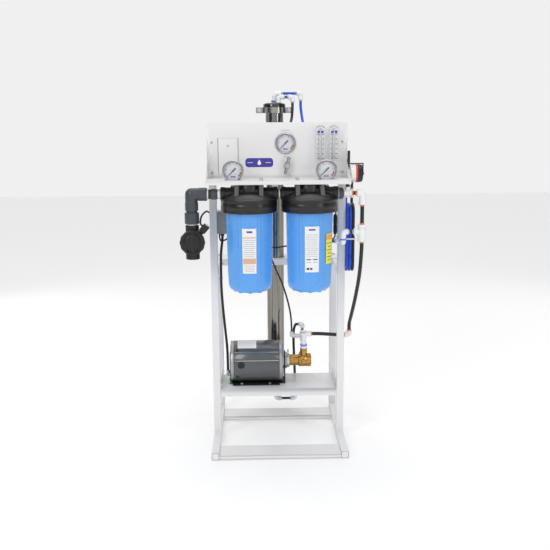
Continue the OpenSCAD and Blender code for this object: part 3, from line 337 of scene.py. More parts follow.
class Shape:
    """One piece under construction, in stand millimetres."""

    def __init__(self):
        self.bm = bmesh.new()
        self.mats = []

    def faces(self, verts, faces, place, mat):
        if mat not in self.mats:
            self.mats.append(mat)
        made = [self.bm.verts.new(place @ Vector(v)) for v in verts]
        for f in faces:
            try:
                face = self.bm.faces.new([made[i] for i in f])
            except ValueError:
                continue
            face.material_index = self.mats.index(mat)
            face.smooth = True

    def skin(self, loops, place, mat, closed=False, first=True, last=True):
        """Quads between neighbouring loops, with a face over the first and the last loop if asked."""
        n, rows = len(loops[0]), len(loops)
        faces = []
        for i in range(rows if closed else rows - 1):
            a, b = i * n, (i + 1) % rows * n
            faces += [(a + k, a + (k + 1) % n, b + (k + 1) % n, b + k) for k in range(n)]
        if first and not closed:
            faces.append(tuple(range(n - 1, -1, -1)))
        if last and not closed:
            faces.append(tuple(range((rows - 1) * n, rows * n)))
        self.faces([v for loop in loops for v in loop], faces, place, mat)

    def lathe(self, origin, axis, outline, mat, seg=64, wave=None, closed=False):
        """outline is a list of (radius, height); wave(angle, radius, height) returns another radius."""
        loops = []
        for r, h in outline:
            angles = [tau * k / seg for k in range(seg)]
            radii = [wave(a, r, h) if wave else r for a in angles]
            loops.append([(q * cos(a), q * sin(a), h) for q, a in zip(radii, angles)])
        self.skin(loops, shift(origin) @ orient(axis), mat, closed, outline[0][0] > TIP,
                  outline[-1][0] > TIP)

    def ring(self, origin, axis, outline, mat, seg=64, wave=None):
        """A closed outline turned right round, with no end caps."""
        self.lathe(origin, axis, outline, mat, seg, wave, closed=True)

    def slab(self, low, high, mat, place=None, round_=0.0, seg=4):
        """A box, with its edges along the box's own Z rounded if round_ is given."""
        (x0, y0, z0), (x1, y1, z1) = low, high
        loop = [(x0, y0), (x1, y0), (x1, y1), (x0, y1)]
        if round_ > 0:
            corners = ((x1 - round_, y1 - round_, 0), (x0 + round_, y1 - round_, 90),
                       (x0 + round_, y0 + round_, 180), (x1 - round_, y0 + round_, 270))
            loop = []
            for cx, cy, start in corners:
                arc = [polar(round_, start + 90 * k / seg) for k in range(seg + 1)]
                loop += [(cx + dx, cy + dy) for dx, dy in arc]
        self.prism(loop, z0, z1, mat, place)

    def prism(self, loop, z0, z1, mat, place=None):
        self.skin([[(x, y, z) for x, y in loop] for z in (z0, z1)], place or Matrix.Identity(4), mat)

    def hexagon(self, r, z0, z1, mat, place, sides=6):
        self.prism([polar(r, 360 * k / sides) for k in range(sides)], z0, z1, mat, place)

    def tube(self, path, r, mat, seg=20):
        """A round tube along a polyline, smoothed by the caller."""
        pts = [Vector(p) for p in path]
        n = len(pts)
        t0 = (pts[1] - pts[0]).normalized()
        u = t0.cross(Z if abs(t0.z) < 0.9 else X).normalized()
        loops = []
        for i, p in enumerate(pts):
            t = (pts[min(i + 1, n - 1)] - pts[max(i - 1, 0)]).normalized()
            u = (u - t * u.dot(t)).normalized()
            v = t.cross(u)
            loops.append([p + (u * cos(tau * k / seg) + v * sin(tau * k / seg)) * r for k in range(seg)])
        self.skin(loops, Matrix.Identity(4), mat)

    def finish(self, name, body="unit", replaces=None, bevel=0.0, slot=None, sharp=32.0, bevel_seg=2):
        bm = self.bm
        bmesh.ops.remove_doubles(bm, verts=bm.verts, dist=WELD)
        bmesh.ops.recalc_face_normals(bm, faces=bm.faces)
        for v in bm.verts:
            v.co = (v.co + STAND) * MM
        mesh = bpy.data.meshes.new(name)
        bm.to_mesh(mesh)
        bm.free()
        for m in self.mats:
            mesh.materials.append(m)
        mesh.set_sharp_from_angle(angle=radians(sharp))
        obj = link_object(name, mesh)
        if bevel:
            soften(obj, bevel, sharp, bevel_seg)
        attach(obj, body)
        if replaces:
            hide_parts(replaces)
        return obj


def piece(*args, **how):
    """Builds one piece at once: the function below it draws the shape, and its name becomes the object."""
    def build(draw):
        s = Shape()
        draw(s)
        return s.finish(*args, **how)
    return build


def show(node, mat, bevel=0.0, sharp=32.0):
    """Keeps the CAD node and gives it a finish and, where asked, softened edges."""
    obj = NODES[node]
    mesh = obj.data
    mesh.materials.clear()
    mesh.materials.append(mat)
    for poly in mesh.polygons:
        poly.material_index = 0
        poly.use_smooth = True
    custom = mesh.attributes.get("custom_normal")
    if custom:
        mesh.attributes.remove(custom)
    obj.modifiers.new("weld", "WELD").merge_threshold = CAD_WELD
    mesh.set_sharp_from_angle(angle=radians(sharp))
    if bevel:
        soften(obj, bevel, sharp)
    else:
        flat = obj.modifiers.new("flat", "WEIGHTED_NORMAL")
        flat.weight = 100
        flat.keep_sharp = True


# Stand and panel
for name in ("base_rails", "front_uprights", "rear_frame_tubes", "base_crossbars", "pump_shelf",
             "vessel_plate", "instrument_panel"):
    show(name, POWDER)
show("access_cover", WHITE, 0.35)


@piece("tube_plugs", bevel=0.5)
def tube_plugs(s):
    """Plastic plugs in the tops of the front uprights and the ends of the base rails."""
    for side in (-1, 1):
        x = side * UPRIGHT_X
        s.slab((x - 10.8, 1.9, 1080), (x + 10.8, 23.5, 1091.7), BLACK, round_=2.0)
        for y in (-177.6, 287.6):
            s.slab((x - 10.8, y, 2.0), (x + 10.8, y + 8, 23.4), POWDER)


@piece("panel_print")
def panel_marks(s):
    """Plain printed strips over the instruments, where the real panel has words."""
    for x, z, w in ((27.3, 1075, 30), (30, 989, 18)):
        s.slab((x - w / 2, -2.25, z - 1.1), (x + w / 2, -1.95, z + 1.1), PALE_INK)
    for x in (-219.0, 219.0):
        s.lathe((x, PANEL_FACE, 1008), -Y, [(TIP, 0.5), (1.6, 0.45), (2.2, 0.0)], POWDER, 20)


@piece("access_cover_rim", bevel=0.3)
def access_cover_shadow(s):
    """A painted shadow line round the blank cover: darker strips at the sides, paler ones at the top and
    bottom.
    """
    half_w, half_h = 33.0, 57.0
    for x in (COVER_X - half_w, COVER_X + half_w):
        s.slab((x - 0.9, -4.15, COVER_Z - half_h), (x + 0.9, -3.3, COVER_Z + half_h), EDGE_SHADE)
    for z in (COVER_Z - half_h, COVER_Z + half_h):
        s.slab((COVER_X - half_w, -4.15, z - 0.5), (COVER_X + half_w, -3.3, z + 0.5), PALE_INK)


@piece("badge_plate", replaces="badge", bevel=0.25, slot="badge_blue")
def badge(s):
    """A deep blue plate with a white rim and a plain water drop: no lettering."""
    place = shift((-59.5, PANEL_FACE, 971.0)) @ FRONT
    drop_r = 6.2
    s.slab((-48, -17, 0.0), (48, 17, 0.7), PAPER, place, round_=12, seg=10)
    s.slab((-46, -15, 0.6), (46, 15, 1.1), BADGE, place, round_=10.5, seg=10)
    drop = []
    for k in range(36):
        a = tau * k / 36
        x, y = drop_r * sin(a), -drop_r * cos(a)
        lift = max(0.0, -cos(a)) ** 3
        drop.append((x * (1 - 0.55 * lift), y + 5.2 * lift - 2.0))
    s.prism(drop, 1.0, 1.2, PAPER, place)
    for x in (-30, 30):
        s.slab((x - 9, -0.8, 1.0), (x + 9, 0.8, 1.2), PAPER, place)


# Screws and nuts
def hex_bolt(s, origin, axis, af, height=4, mat=ZINC):
    """A bolt head over its washer; af is the width across the flats."""
    s.lathe(origin, axis, [(TIP, 0.0), (af * 0.66, 0.0), (af * 0.66, 0.6), (TIP, 0.6)], mat, 32)
    s.hexagon(af / sqrt(3), 0.5, height - 0.5, mat, shift(origin) @ orient(axis))
    s.lathe(origin, axis, [(af * 0.49, height - 0.6), (af * 0.46, height), (TIP, height)], mat, 32)


def cross_screw(s, origin, axis, r, height, mat):
    place = shift(origin) @ orient(axis)
    s.lathe(origin, axis, [(r, 0.0), (r, height * 0.35), (r * 0.86, height * 0.75), (r * 0.5, height * 0.96),
                           (TIP, height)], mat, 32)
    for a, b in ((r * 0.5, r * 0.11), (r * 0.11, r * 0.5)):
        s.slab((-a, -b, height * 0.90), (a, b, height * 1.0), BLACK, place)


@piece("screws_and_bolts", replaces="fasteners", bevel=0.25, slot="zinc")
def fasteners(s):
    for side in (-1, 1):
        for z in (939, 1037):
            cross_screw(s, (side * UPRIGHT_X, PANEL_FACE, z), -Y, 5.0, 2.6, ZINC)
        cross_screw(s, (COVER_X, -3.5, COVER_Z + side * 31.5), -Y, 3.6, 1.6, ZINC)
    for x in FILTER_X:
        for i in (-1, 1):
            for j in (-1, 1):
                hex_bolt(s, (x + 39 * i, FILTER_Y + 32 * j, 921), Z, 10)
    for x in (-130, -30):
        for y in (48, 132):
            hex_bolt(s, (x, y, 186.8), Z, 10)
            s.lathe((x, y, 182), -Z, [(5.5, 0), (5.5, 1.6), (3.2, 1.6), (3.2, 4), (TIP, 4)], ZINC, 24)
    for side in (-1, 1):
        hex_bolt(s, (side * 201.2, 12.7, 197), -X * side, 10)
        hex_bolt(s, (side * UPRIGHT_X, 283.7, 612), Z, 10)
    for z in (117.0, 1143.0):
        for side in (-1, 1):
            x = VESSEL.x + 54 * side
            hex_bolt(s, (x, 235, z), -Y, 10.4, 5)
            s.lathe((x, 235, z), Y, [(3.0, 0), (3.0, 26), (TIP, 26)], ZINC, 24)
            hex_bolt(s, (x, 255, z), Y, 10.4, 5)


# Gauges
@piece("gauge_case_set", replaces="gauge_cases", slot="polished_steel", sharp=28)
def gauge_cases(s):
    for key, g in GAUGES.items():
        g = Vector(g)
        s.lathe(g, -Y, [(TIP, -14), (20, -14), (30.5, -13.2), (32.6, -11.5), (33.2, -9), (33.2, -8.9)],
                CHROME, 96)
        s.ring(g, -Y, [(33.2, -9), (33.2, 3.2), (31.5, 5.5), (31.4, -9)], CHROME, 96)
        rim = [(33.2, 2.9), (34.1, 3.3), (34.6, 4.3), (34.6, 6.0), (34.2, 7.6), (33.3, 9.0), (32.0, 9.9),
               (30.8, 9.8), (29.6, 8.9), (28.9, 7.6), (29.0, 7.05), (31.5, 7.0), (31.5, 3.0)]
        s.ring(g, -Y, rim, CHROME, 96)
        if key == "membrane":
            back = g + Y * 14
            s.lathe(back, Y, [(7.0, 0), (7.0, 14), (TIP, 14)], CAST, 32)
            s.hexagon(9.5, 0.5, 6, CAST, shift(back) @ orient(Y))
        else:
            foot = Vector((g.x, g.y, 900.5))
            s.lathe(foot, Z, [(7.0, 0), (7.0, 17)], CAST, 32)
            s.hexagon(9.0, 3.5, 11.5, CAST, shift(foot))


@piece("gauge_dial_set", replaces="gauge_dials", slot="dial_white")
def gauge_dials(s):
    for g in GAUGES.values():
        g = Vector(g)
        s.lathe(g, -Y, [(TIP, -2.1), (31.3, -2.1), (31.3, -4), (TIP, -4)], DIAL, 96)
        s.lathe(g, -Y, [(1.25, -2.2), (1.25, 1.0), (TIP, 1.2)], ZINC, 20)
        face = shift(g) @ orient(-Y, Z)
        for k in range(51):
            step = 10 if k % 10 == 0 else 5 if k % 5 == 0 else 1
            depth, half = {10: (6.0, 0.6), 5: (4.2, 0.4), 1: (2.4, 0.22)}[step]
            tick = face @ spin(135 - 5.4 * k, "Z")
            s.slab((-half, 28.2 - depth, -2.15), (half, 28.2, -2.0), INK, tick)
            if step == 10:
                x, y = polar(20.4, 225 - 5.4 * k)
                s.slab((x - 1.7, y - 1.0, -2.15), (x + 1.7, y + 1.0, -2.02), PALE_INK, face)
        red = [polar(27.6, -9 - 33 * k / 8) for k in range(9)]
        red += [polar(22.6, -42 + 33 * k / 8) for k in range(9)]
        s.prism(red, -2.15, -1.98, RED, face)
        for x in (-7.5, 0.5):
            s.slab((x, -21.0, -2.15), (x + 7.0, -16.4, -2.0), INK_BLUE, face)
        for x in (-8, 8):
            s.slab((x - 2.0, -12.0, -2.15), (x + 2.0, -11.0, -2.0), INK, face)


def pointer(name, node, body, g):
    s = Shape()
    place = shift(g) @ spin(225, "Y") @ FRONT
    s.prism([(-1.6, 2.0), (-2.0, -5), (-2.8, -12), (2.8, -12), (2.0, -5), (1.6, 2.0), (0.8, 24.5),
             (-0.8, 24.5)],
            -0.9, -0.3, INK, place)
    s.ring(g, -Y, [(1.32, -1.0), (3.4, -1.0), (3.4, 0.0), (2.6, 0.45), (1.32, 0.45)], INK, 32)
    return s.finish(name, body, replaces=node, slot="pointer_black")


for key, g in GAUGES.items():
    pointer(key + "_hand_piece", key + "_pointer", key + "_hand", g)


@piece("gauge_lens_set", replaces="gauge_lenses", slot="clear_plastic")
def gauge_lenses(s):
    for g in GAUGES.values():
        s.lathe(g, -Y, [(TIP, 5.5), (31.4, 5.5), (31.4, 6.95), (24, 7.05), (TIP, 7.1)], LENS, 64)


# Flow meters
def crown(r, angles):
    """An arc round the centre of a flow meter's rounded top."""
    return [(x, 106.5 + y) for x, y in (polar(r, a) for a in angles)]


@piece("flowmeter_blocks", replaces="flowmeter_bodies", slot="clear_plastic", bevel=1.2, bevel_seg=3)
def flowmeters(s):
    """Clear acrylic blocks with a rounded top."""
    for x in METER_X:
        loop = [(-15.5, 0), (15.5, 0)] + crown(15.5, range(0, 181, 12))
        s.prism(loop, 0.2, 28.5, ACRYLIC, shift((x, PANEL_FACE, METER_Z)) @ FRONT)


INK_RISE = 0.12


@piece("flowmeter_scales")
def flowmeter_print(s):
    """The printed scales, with the tapered tube, its stop and the ports that hold each meter; a dark strip
    over the tube and a dark arc under the top are painted shade of the clear block.
    """
    for x in METER_X:
        face = shift((x, -30.62, METER_Z)) @ FRONT
        for k in range(21):
            y = 16 + 3.9 * k
            w, half = (7.6, 0.95) if k % 4 == 0 else (4.6, 0.55)
            s.slab((-3.4 - w, y - half, 0), (-3.4, y + half, INK_RISE), INK, face)
            if k % 4 == 0:
                s.slab((4.4, y - 0.9, 0), (11.0, y + 0.9, INK_RISE), INK, face)
        # Painted shade: a dark strip down the tube and a dark arc under the rounded top, where the clear
        # acrylic looks dark at its edges.
        s.slab((1.6, 12, 0), (2.7, 96, INK_RISE), EDGE_SHADE, face)
        s.prism(crown(15.3, range(30, 151, 12)) + crown(13.9, range(150, 29, -12)), 0, INK_RISE, EDGE_SHADE,
                face)
        for x0 in (-15.2, 14.4):
            s.slab((x0, 2, 0), (x0 + 0.8, 106, INK_RISE), PALE_INK, face)
        for a, b in ((-10, -1.5), (1.5, 10)):
            s.slab((a, 97.5, 0), (b, 105.5, INK_RISE), INK_BLUE, face)
        for z in (988.0, 1068.0):
            s.lathe((x, 0.0, z), Y,
                    [(7.6, 0.05), (7.6, 4), (10.4, 4), (10.4, 9), (8, 9.4), (8, 20), (TIP, 20)],
                    WHITE, 32)
        s.lathe((x, -17, 979.5), Z, [(5.95, 0), (5.95, 95), (3.2, 97), (3.2, 103), (TIP, 103)], LENS, 28)
        s.lathe((x, -17, 1073), Z, [(TIP, 0), (1.4, 0.2), (1.4, 8.5), (TIP, 9)], BLACK, 20)
        s.slab((-1.1, 8, 0), (1.1, 13, 0.2), BLACK, shift((x, -3.2, METER_Z)) @ FRONT)


def meter_float(name, node, body, x):
    s = Shape()
    s.lathe((x, -17, 990), Z, [(TIP, -6), (1.5, -6), (5.0, -0.8), (5.45, 0), (5.45, 1.6), (4.7, 2.0),
                               (4.7, 3.2), (5.45, 3.6), (5.45, 5.3), (4.9, 6), (TIP, 6)], ZINC, 40)
    return s.finish(name, body, replaces=node, slot="float_red")


meter_float("product_float_piece", "product_float", "product_float_body", METER_X[0])
meter_float("waste_float_piece", "waste_float", "waste_float_body", METER_X[1])


# Needle valve
@piece("needle_valve_block", replaces="needle_valve_body", bevel=0.4, slot="polished_steel")
def needle_valve(s):
    c = NEEDLE_VALVE
    s.lathe(c, -Y, [(12.6, 2.0), (12.6, 2.9), (TIP, 2.9)], CHROME, 40)
    s.hexagon(12.2, 0.8, 6.4, CHROME, shift(c + Y * PANEL_FACE) @ orient(-Y))
    s.ring(c, -Y, [(4.1, 8), (7.4, 8), (7.4, 10.4), (6.6, 11.2), (4.1, 11.2)], CHROME, 40)
    s.lathe(c, Y, [(8, 0), (8, 1), (12, 1.2), (12, 33), (11, 34), (TIP, 34)], CAST, 48)
    s.lathe(c + Y * 22 - X * 20, X, [(8, 0), (8, 40)], CAST, 40)


@piece("needle_valve_t_handle", "valve_handle", replaces="needle_valve_handle", slot="polished_steel")
def needle_handle(s):
    c = NEEDLE_VALVE
    s.lathe(c, -Y, [(4.0, -5.9), (4.0, 14), (7.0, 14.2), (8.0, 15.4), (8.0, 26.6), (7.0, 28), (TIP, 28)],
            CHROME, 48)
    tilt = spin(13.4, "Y")
    along = tilt @ Z
    start = c - Y * 21 - along * 29
    s.lathe(start, along, [(TIP, 0), (4.4, 0), (5.4, 1.0), (5.4, 57.0), (4.4, 58), (TIP, 58)], HANDLE, 40)
    for h in (5.5, 50.5):
        s.lathe(start + along * h, along, [(5.5, 0), (5.7, 0.5), (5.7, 1.5), (5.5, 2.0)], HANDLE, 40)


show("needle_valve_needle", REFLECTION_STREAKED_STEEL)


# Filter housings
HEAD_OUTLINE = [(78.1, 853.9), (78.1, 819), (90.6, 819), (91.6, 819.6), (92.0, 821), (92.0, 825.8),
                (91.6, 826.2), (91.6, 834), (91.9, 834.6), (91.9, 846), (91.5, 846.6), (91.5, 856),
                (92, 857), (92, 859.5), (91.3, 861.2), (89.6, 862.4), (86.5, 863.2), (84, 864.6),
                (82.0, 867.5), (74.0, 873.0), (64.0, 877.5), (60.0, 880.0), (38.0, 884.0), (38.0, 905.5),
                (36.5, 908), (TIP, 908)]


@piece("filter_head_pair", replaces="filter_heads", slot="black_plastic", bevel=0.45, sharp=35)
def filter_heads(s):
    for x, boss in zip(FILTER_X, (-50.5, 54.5)):
        o = Vector((x, FILTER_Y, 0))
        s.lathe(o, Z, HEAD_OUTLINE, HEAD, 192)
        s.lathe(o, Z, [(78.1, 854.0), (24, 854.0), (24, 822.2), (11, 822.2), (11, 868)], BLACK, 96)
        for side in (-1, 1):
            s.ring(o + Z * PORT_Z, X * side, [(15.6, 30), (15.6, 92.0), (21.4, 92.0), (23.0, 90.6),
                                              (23.0, 78.5), (21.6, 77.6), (21.2, 30)], BLACK, 64)
        s.lathe(o + Z * PORT_Z - X * 78, X, [(21.3, 0), (21.3, 156)], BLACK, 64)
        for i in (-1, 1):
            for j in (-1, 1):
                post = o + Vector((39 * i, 32 * j, 0))
                # The posts and webs take the lighter black, whose lightness is painted sheen.
                s.lathe(post, Z, [(9.6, 864), (8.4, 874), (8.0, 880), (8.0, 917.8), (7.0, 919), (TIP, 919)],
                        POST_PAINTED_SHEEN, 40)
                for k in range(4):
                    s.slab((7.2, -1.0, 866), (8.3, 1.0, 914), BLACK, shift(post) @ spin(45 + 90 * k, "Z"))
        for i in (-39, 39):
            side_on = shift((x + i + 6.5, 0, 0)) @ orient(-X, Z)
            web = [(-114, 918.4), (-120, 918.4), (-121, 905), (-140, 881), (-144, 866), (-114, 866)]
            s.prism([(-y, z) for y, z in web], 0, 13, POST_PAINTED_SHEEN, side_on)
            for q in (-2.4, 2.4):
                s.slab((x + i + q - 0.7, -122.2, 866), (x + i + q + 0.7, -119, 906), BLACK)
        s.slab((x - 82, -120.0, 908.4), (x + 82, -116.0, 918.4), BLACK)
        for y in (-117.2, -53.6):
            s.slab((x - 30, y, 868), (x + 30, y + 2.8, 892), BLACK)
        for k in range(4):
            s.slab((36, -1.5, 872), (62, 1.5, 891), BLACK, shift(o) @ spin(90 * k + 45, "Z"))
        s.lathe(o + Vector((boss, 0, PORT_Z)), Z, [(9.5, 0), (9.5, 24.4), (8.6, 25), (TIP, 25)], BLACK, 40)
        s.lathe(o + Z * 908, Z, [(9, -0.1), (9, 3.0), (8, 4.0), (TIP, 4.0)], BLACK, 32)


RIB_PAIRS = 8
FEET = 10
SUMP_BOTTOM = 558


def sump_wave(a, r, h):
    """Eight pairs of narrow raised ribs, with very shallow flats between them."""
    off_centre = (a * RIB_PAIRS / tau) % 1.0 - 0.5
    rib = min(1.0, 1.7 * max(0.0, 1.0 - abs(abs(off_centre) - 0.085) / 0.04))
    flat = cos(tau * off_centre)
    fade = max(0.0, min(1.0, (h - 14.0) / 14.0)) * max(0.0, min(1.0, (260.0 - h) / 8.0))
    return r + (1.5 * rib - 0.5 + 0.5 * flat) * fade


def label_patch(s, x, angle, z0, z1, half_deg, mat, steps=10):
    """A printed patch that follows the bowl's curve and taper; labels lie under the print on them."""
    lift = 1.35 if mat in (PAPER, YELLOW) else 1.5
    rows = max(2, int((z1 - z0) / 14))
    verts, faces = [], []
    for i in range(rows + 1):
        z = z0 + (z1 - z0) * i / rows
        r = 72 + 5 * (z - SUMP_BOTTOM) / 261 + lift
        for k in range(steps + 1):
            a = radians(angle - half_deg + 2 * half_deg * k / steps)
            verts.append((x + r * sin(a), FILTER_Y - r * cos(a), z))
    for i in range(rows):
        for k in range(i * (steps + 1), i * (steps + 1) + steps):
            faces.append((k, k + 1, k + steps + 2, k + steps + 1))
    s.faces(verts, faces, Matrix.Identity(4), mat)


def sump(name, node, body, x):
    s = Shape()
    o = Vector((x, FILTER_Y, SUMP_BOTTOM))
    outer = [(TIP, 2.6), (30, 2.6), (36, 1.2), (44, 0.4), (50, 0.8), (56.5, 2.8), (62.3, 6.6), (66.9, 11.2),
             (70.0, 17.0), (71.7, 24.0), (72.4, 40)]
    outer += [(72.0 + 4.9 * h / 261, h) for h in range(55, 256, 20)]
    outer += [(76.8, 258), (77.0, 262), (77.0, 264)]
    s.lathe(o, Z, outer, BLUE, 288, wave=sump_wave)
    s.lathe(o, Z, [(77.9, 263.0), (77.9, 294.2), (69.6, 294.2), (69.0, 270), (66.2, 40), (60, 20), (46, 7.2),
                   (20, 7.0), (20, 12), (TIP, 12)], BLUE, 96)
    for k in range(4):
        z = 266 + k * 6.6
        s.ring(o, Z, [(77.6, z), (77.96, z + 1), (77.96, z + 2.6), (77.6, z + 3.6)], BLUE, 96)
    for k in range(FEET):
        s.slab((38.0, -5.5, 0.1), (56.0, 5.5, 7.0), BLUE, shift(o) @ spin(360 * (k + 0.5) / FEET, "Z"))
    return s.finish(name, body, replaces=node, slot="sump_blue", bevel=0.5, sharp=40)


for key, x in zip(("sediment", "carbon"), FILTER_X):
    sump(key + "_sump_bowl", key + "_sump", key + "_bowl", x)


@piece("sediment_sump_label", "sediment_bowl")
def sump_label_left(s):
    x, a = FILTER_X[0], -0.5
    label_patch(s, x, a, 628, 773, 17.0, PAPER)
    label_patch(s, x, a + 0.5, 759, 765, 6.6, INK_BLUE)
    label_patch(s, x, a, 742, 745.5, 15.6, TAN_INK)
    for k in range(9):
        label_patch(s, x, a, 735 - 6.6 * k, 737 - 6.6 * k, 14.8 - (k % 3) * 1.5, PALE_INK)
    label_patch(s, x, a, 659, 677, 15.6, TAN_INK)
    for k in range(4):
        label_patch(s, x, a, 652 - 6 * k, 653.8 - 6 * k, 13.5 - (k % 2) * 2, TAN_INK if k % 2 else PALE_INK)


@piece("carbon_sump_labels", "carbon_bowl")
def sump_label_right(s):
    x, a = FILTER_X[1], 3.0
    label_patch(s, x, a, 630, 778, 17.4, PAPER)
    label_patch(s, x, a, 765, 770, 8.0, INK_BLUE)
    label_patch(s, x, a, 750, 752, 14.5, PALE_INK)
    for k in range(11):
        label_patch(s, x, a, 743 - 6.2 * k, 744.7 - 6.2 * k, 15.0 - (k % 3) * 1.6, PALE_INK)
    for k in (-1, 1):
        label_patch(s, x, a + 8 * k, 670, 673.4, 5.4, INK_BLUE)
        label_patch(s, x, a + 8 * k, 661, 664, 5.4, PALE_INK)
    label_patch(s, x, a - 10, 638, 645, 3.0, INK)
    label_patch(s, x, a - 2, 638, 645, 3.0, INK_BLUE)
    label_patch(s, x, 55, 653, 751, 14.0, YELLOW)
    label_patch(s, x, 55, 731, 748, 12.6, ORANGE_INK)
    for k in range(6):
        label_patch(s, x, 55, 719 - 11 * k, 721.4 - 11 * k, 11.0 - (k % 2) * 3, INK_BLUE)


for node in ("sediment_cartridge", "carbon_cartridge"):
    show(node, FIBRE)
show("sump_seals", SEAL)


# Feed line
@piece("pvc_feed_line", replaces="pipe_fittings", slot="grey_pvc", bevel=0.5, sharp=35)
def pvc_line(s):
    o = Vector((FEED_X, FILTER_Y, PORT_Z))
    s.tube([o - Z * 52.5, o], 20.2, PVC, 48)
    s.tube([o, o + X * 50.1], 20.2, PVC, 48)
    ball = [polar(20.2, a) for a in range(-88, 90, 8)]
    s.lathe(o, Z, [(TIP, -20.2)] + ball + [(TIP, 20.2)], PVC, 48)
    for axis, length in ((X, 50.1), (-Z, 52.5)):
        s.lathe(o, axis, [(20.2, length - 27), (21.4, length - 25.5), (21.4, length - 1.2), (20.2, length),
                          (14.0, length), (14.0, length - 20)], PVC, 64)
    s.ring((FEED_X, FILTER_Y, 0), Z, [(14, 823), (18, 823), (18, 817), (14, 817)], PVC, 48)
    knurl = [(22.4, 781), (23.2, 781.4), (23.5, 783), (23.5, 814), (23.2, 816.4), (22.0, 817), (14, 817),
             (14, 781)]
    s.ring((FEED_X, FILTER_Y, 0), Z, knurl, PVC, 240,
           wave=lambda a, r, h: r - (0.55 * abs(sin(a * 20)) if r > 23 and 784 < h < 812 else 0))
    for x0, x1 in ((-224.5, -194.5), (-185.4, -170.0)):
        s.lathe((x0, FILTER_Y, PORT_Z), X, [(15.4, 0), (15.4, x1 - x0), (11, x1 - x0)], PVC, 64)
    s.lathe((-229.4, FILTER_Y, PORT_Z), X, [(15.4, 0), (15.4, 59)], PVC, 64)
    s.lathe((-216, FILTER_Y, PORT_Z), X, [(15.4, 0), (17.4, 0.6), (17.4, 18.4), (15.4, 19)], PVC, 64)
    s.lathe((-17.4, FILTER_Y, PORT_Z), X, [(15.4, 0), (15.4, 42.2)], PVC, 64)
    s.lathe((177.2, FILTER_Y, PORT_Z), X, [(15.4, 0), (15.4, 18.8)], PVC, 64)
    s.hexagon(18.9, 0, 12, PVC, shift((196.1, FILTER_Y, PORT_Z)) @ orient(X), sides=12)
    s.lathe((208, FILTER_Y, PORT_Z), X, [(15, 0), (15, 3), (12, 3.9), (TIP, 3.9)], PVC, 48)
    s.lathe((FEED_X, FILTER_Y, 752.2), Z, [(14.9, 0), (14.9, 28.8), (11, 28.8), (11, 0)], PVC, 48)


@piece("tape_wraps", replaces="thread_tape", slot="tape_white", sharp=50)
def thread_tape(s):
    """Layered PTFE tape, a little uneven, at every threaded joint."""

    def wrap(origin, axis, r, length, bore):
        rows = [(bore, 0.0), (r - 0.5, 0.0)]
        rows += [(r - 0.35 * (k % 2), length * k / 6) for k in range(1, 6)]
        rows += [(r - 0.5, length), (bore, length)]
        s.ring(origin, axis, rows, TAPE, 72,
               wave=lambda a, q, h: q + (0.18 * sin(a * 5 + h) if q > bore + 0.2 else 0))

    wrap((-229.4, FILTER_Y, PORT_Z), X, 16.8, 4.8, 15.5)
    wrap((-194.4, FILTER_Y, PORT_Z), X, 16.8, 8.8, 15.5)
    wrap((2.1, FILTER_Y, PORT_Z), X, 16.8, 3.2, 15.5)
    wrap((193.1, FILTER_Y, PORT_Z), X, 16.8, 2.9, 15.5)
    wrap((FEED_X, FILTER_Y, 776.1), Z, 16.8, 4.8, 15.0)
    wrap((93, 90, 304.1), Z, 12.3, 5.8, 11.1)


@piece("solenoid_valve_body", replaces="solenoid_body", slot="black_plastic", bevel=0.4, sharp=35)
def solenoid_body(s):
    o = Vector((FEED_X, FILTER_Y, 0))
    s.ring(o, Z, [(15.05, 775.9), (21.0, 775.9), (21.8, 775.2), (21.8, 741), (20.6, 740), (15.05, 752.2)],
           BLACK, 72)
    s.lathe(o, Z, [(20.6, 744), (20.0, 736), (20.0, 700)], BLACK, 72)
    s.ring(o, Z, [(16.6, 665), (21.6, 665), (22.5, 666), (22.5, 695), (20.4, 700), (11.1, 700),
                  (11.1, 690.1), (16.6, 690)], BLACK, 72)
    c = BONNET
    s.lathe(c, -Y,
            [(20, -18), (29, -12), (33, -4), (33.5, 2), (33, 20), (38.9, 21.5), (39.5, 23), (39.5, 25.9),
             (TIP, 25.9)],
            BLACK, 72)
    along = spin(COIL_TILT, "Y") @ Z
    s.lathe(c - Y * 14 + along * 20, along, [(8, 0), (8, 21.9), (TIP, 21.9)], BLACK, 32)


@piece("solenoid_valve_bonnet", replaces="solenoid_bonnet", slot="black_plastic", bevel=0.35, sharp=35)
def solenoid_bonnet(s):
    """The round cover over the diaphragm: scalloped rim, domed middle with upright ribs."""
    c = BONNET - Y * 26
    rim = [(38.2, 0.0), (40.2, 1.0), (40.8, 3.0), (40.8, 10.5), (40.0, 12.6), (38.0, 13.8)]
    s.lathe(c, -Y, rim, BLACK, 144, wave=lambda a, r, h: r - 1.6 * (0.5 - 0.5 * cos(a * 12)) ** 3)
    s.lathe(c, -Y, [(38.0, 13.7), (33.0, 14.0), (31.5, 12.6), (30.4, 13.0), (29, 15.2), (25, 17.4),
                    (20, 18.9), (12, 19.7), (TIP, 19.9)], BLACK, 96)
    for bow in (-22, -9, 9, 22):
        arch = []
        for k in range(-10, 11):
            a = radians(82 * k / 10)
            reach = bow * cos(a) ** 0.5
            up = 36.5 * sin(a)
            rise = 13.0 + 6.2 * max(0.0, 1 - (reach ** 2 + up ** 2) / 37.5 ** 2) ** 0.5
            arch.append(c + Vector((reach, -rise, up)))
        s.tube(arch, 2.1, BLACK, 14)


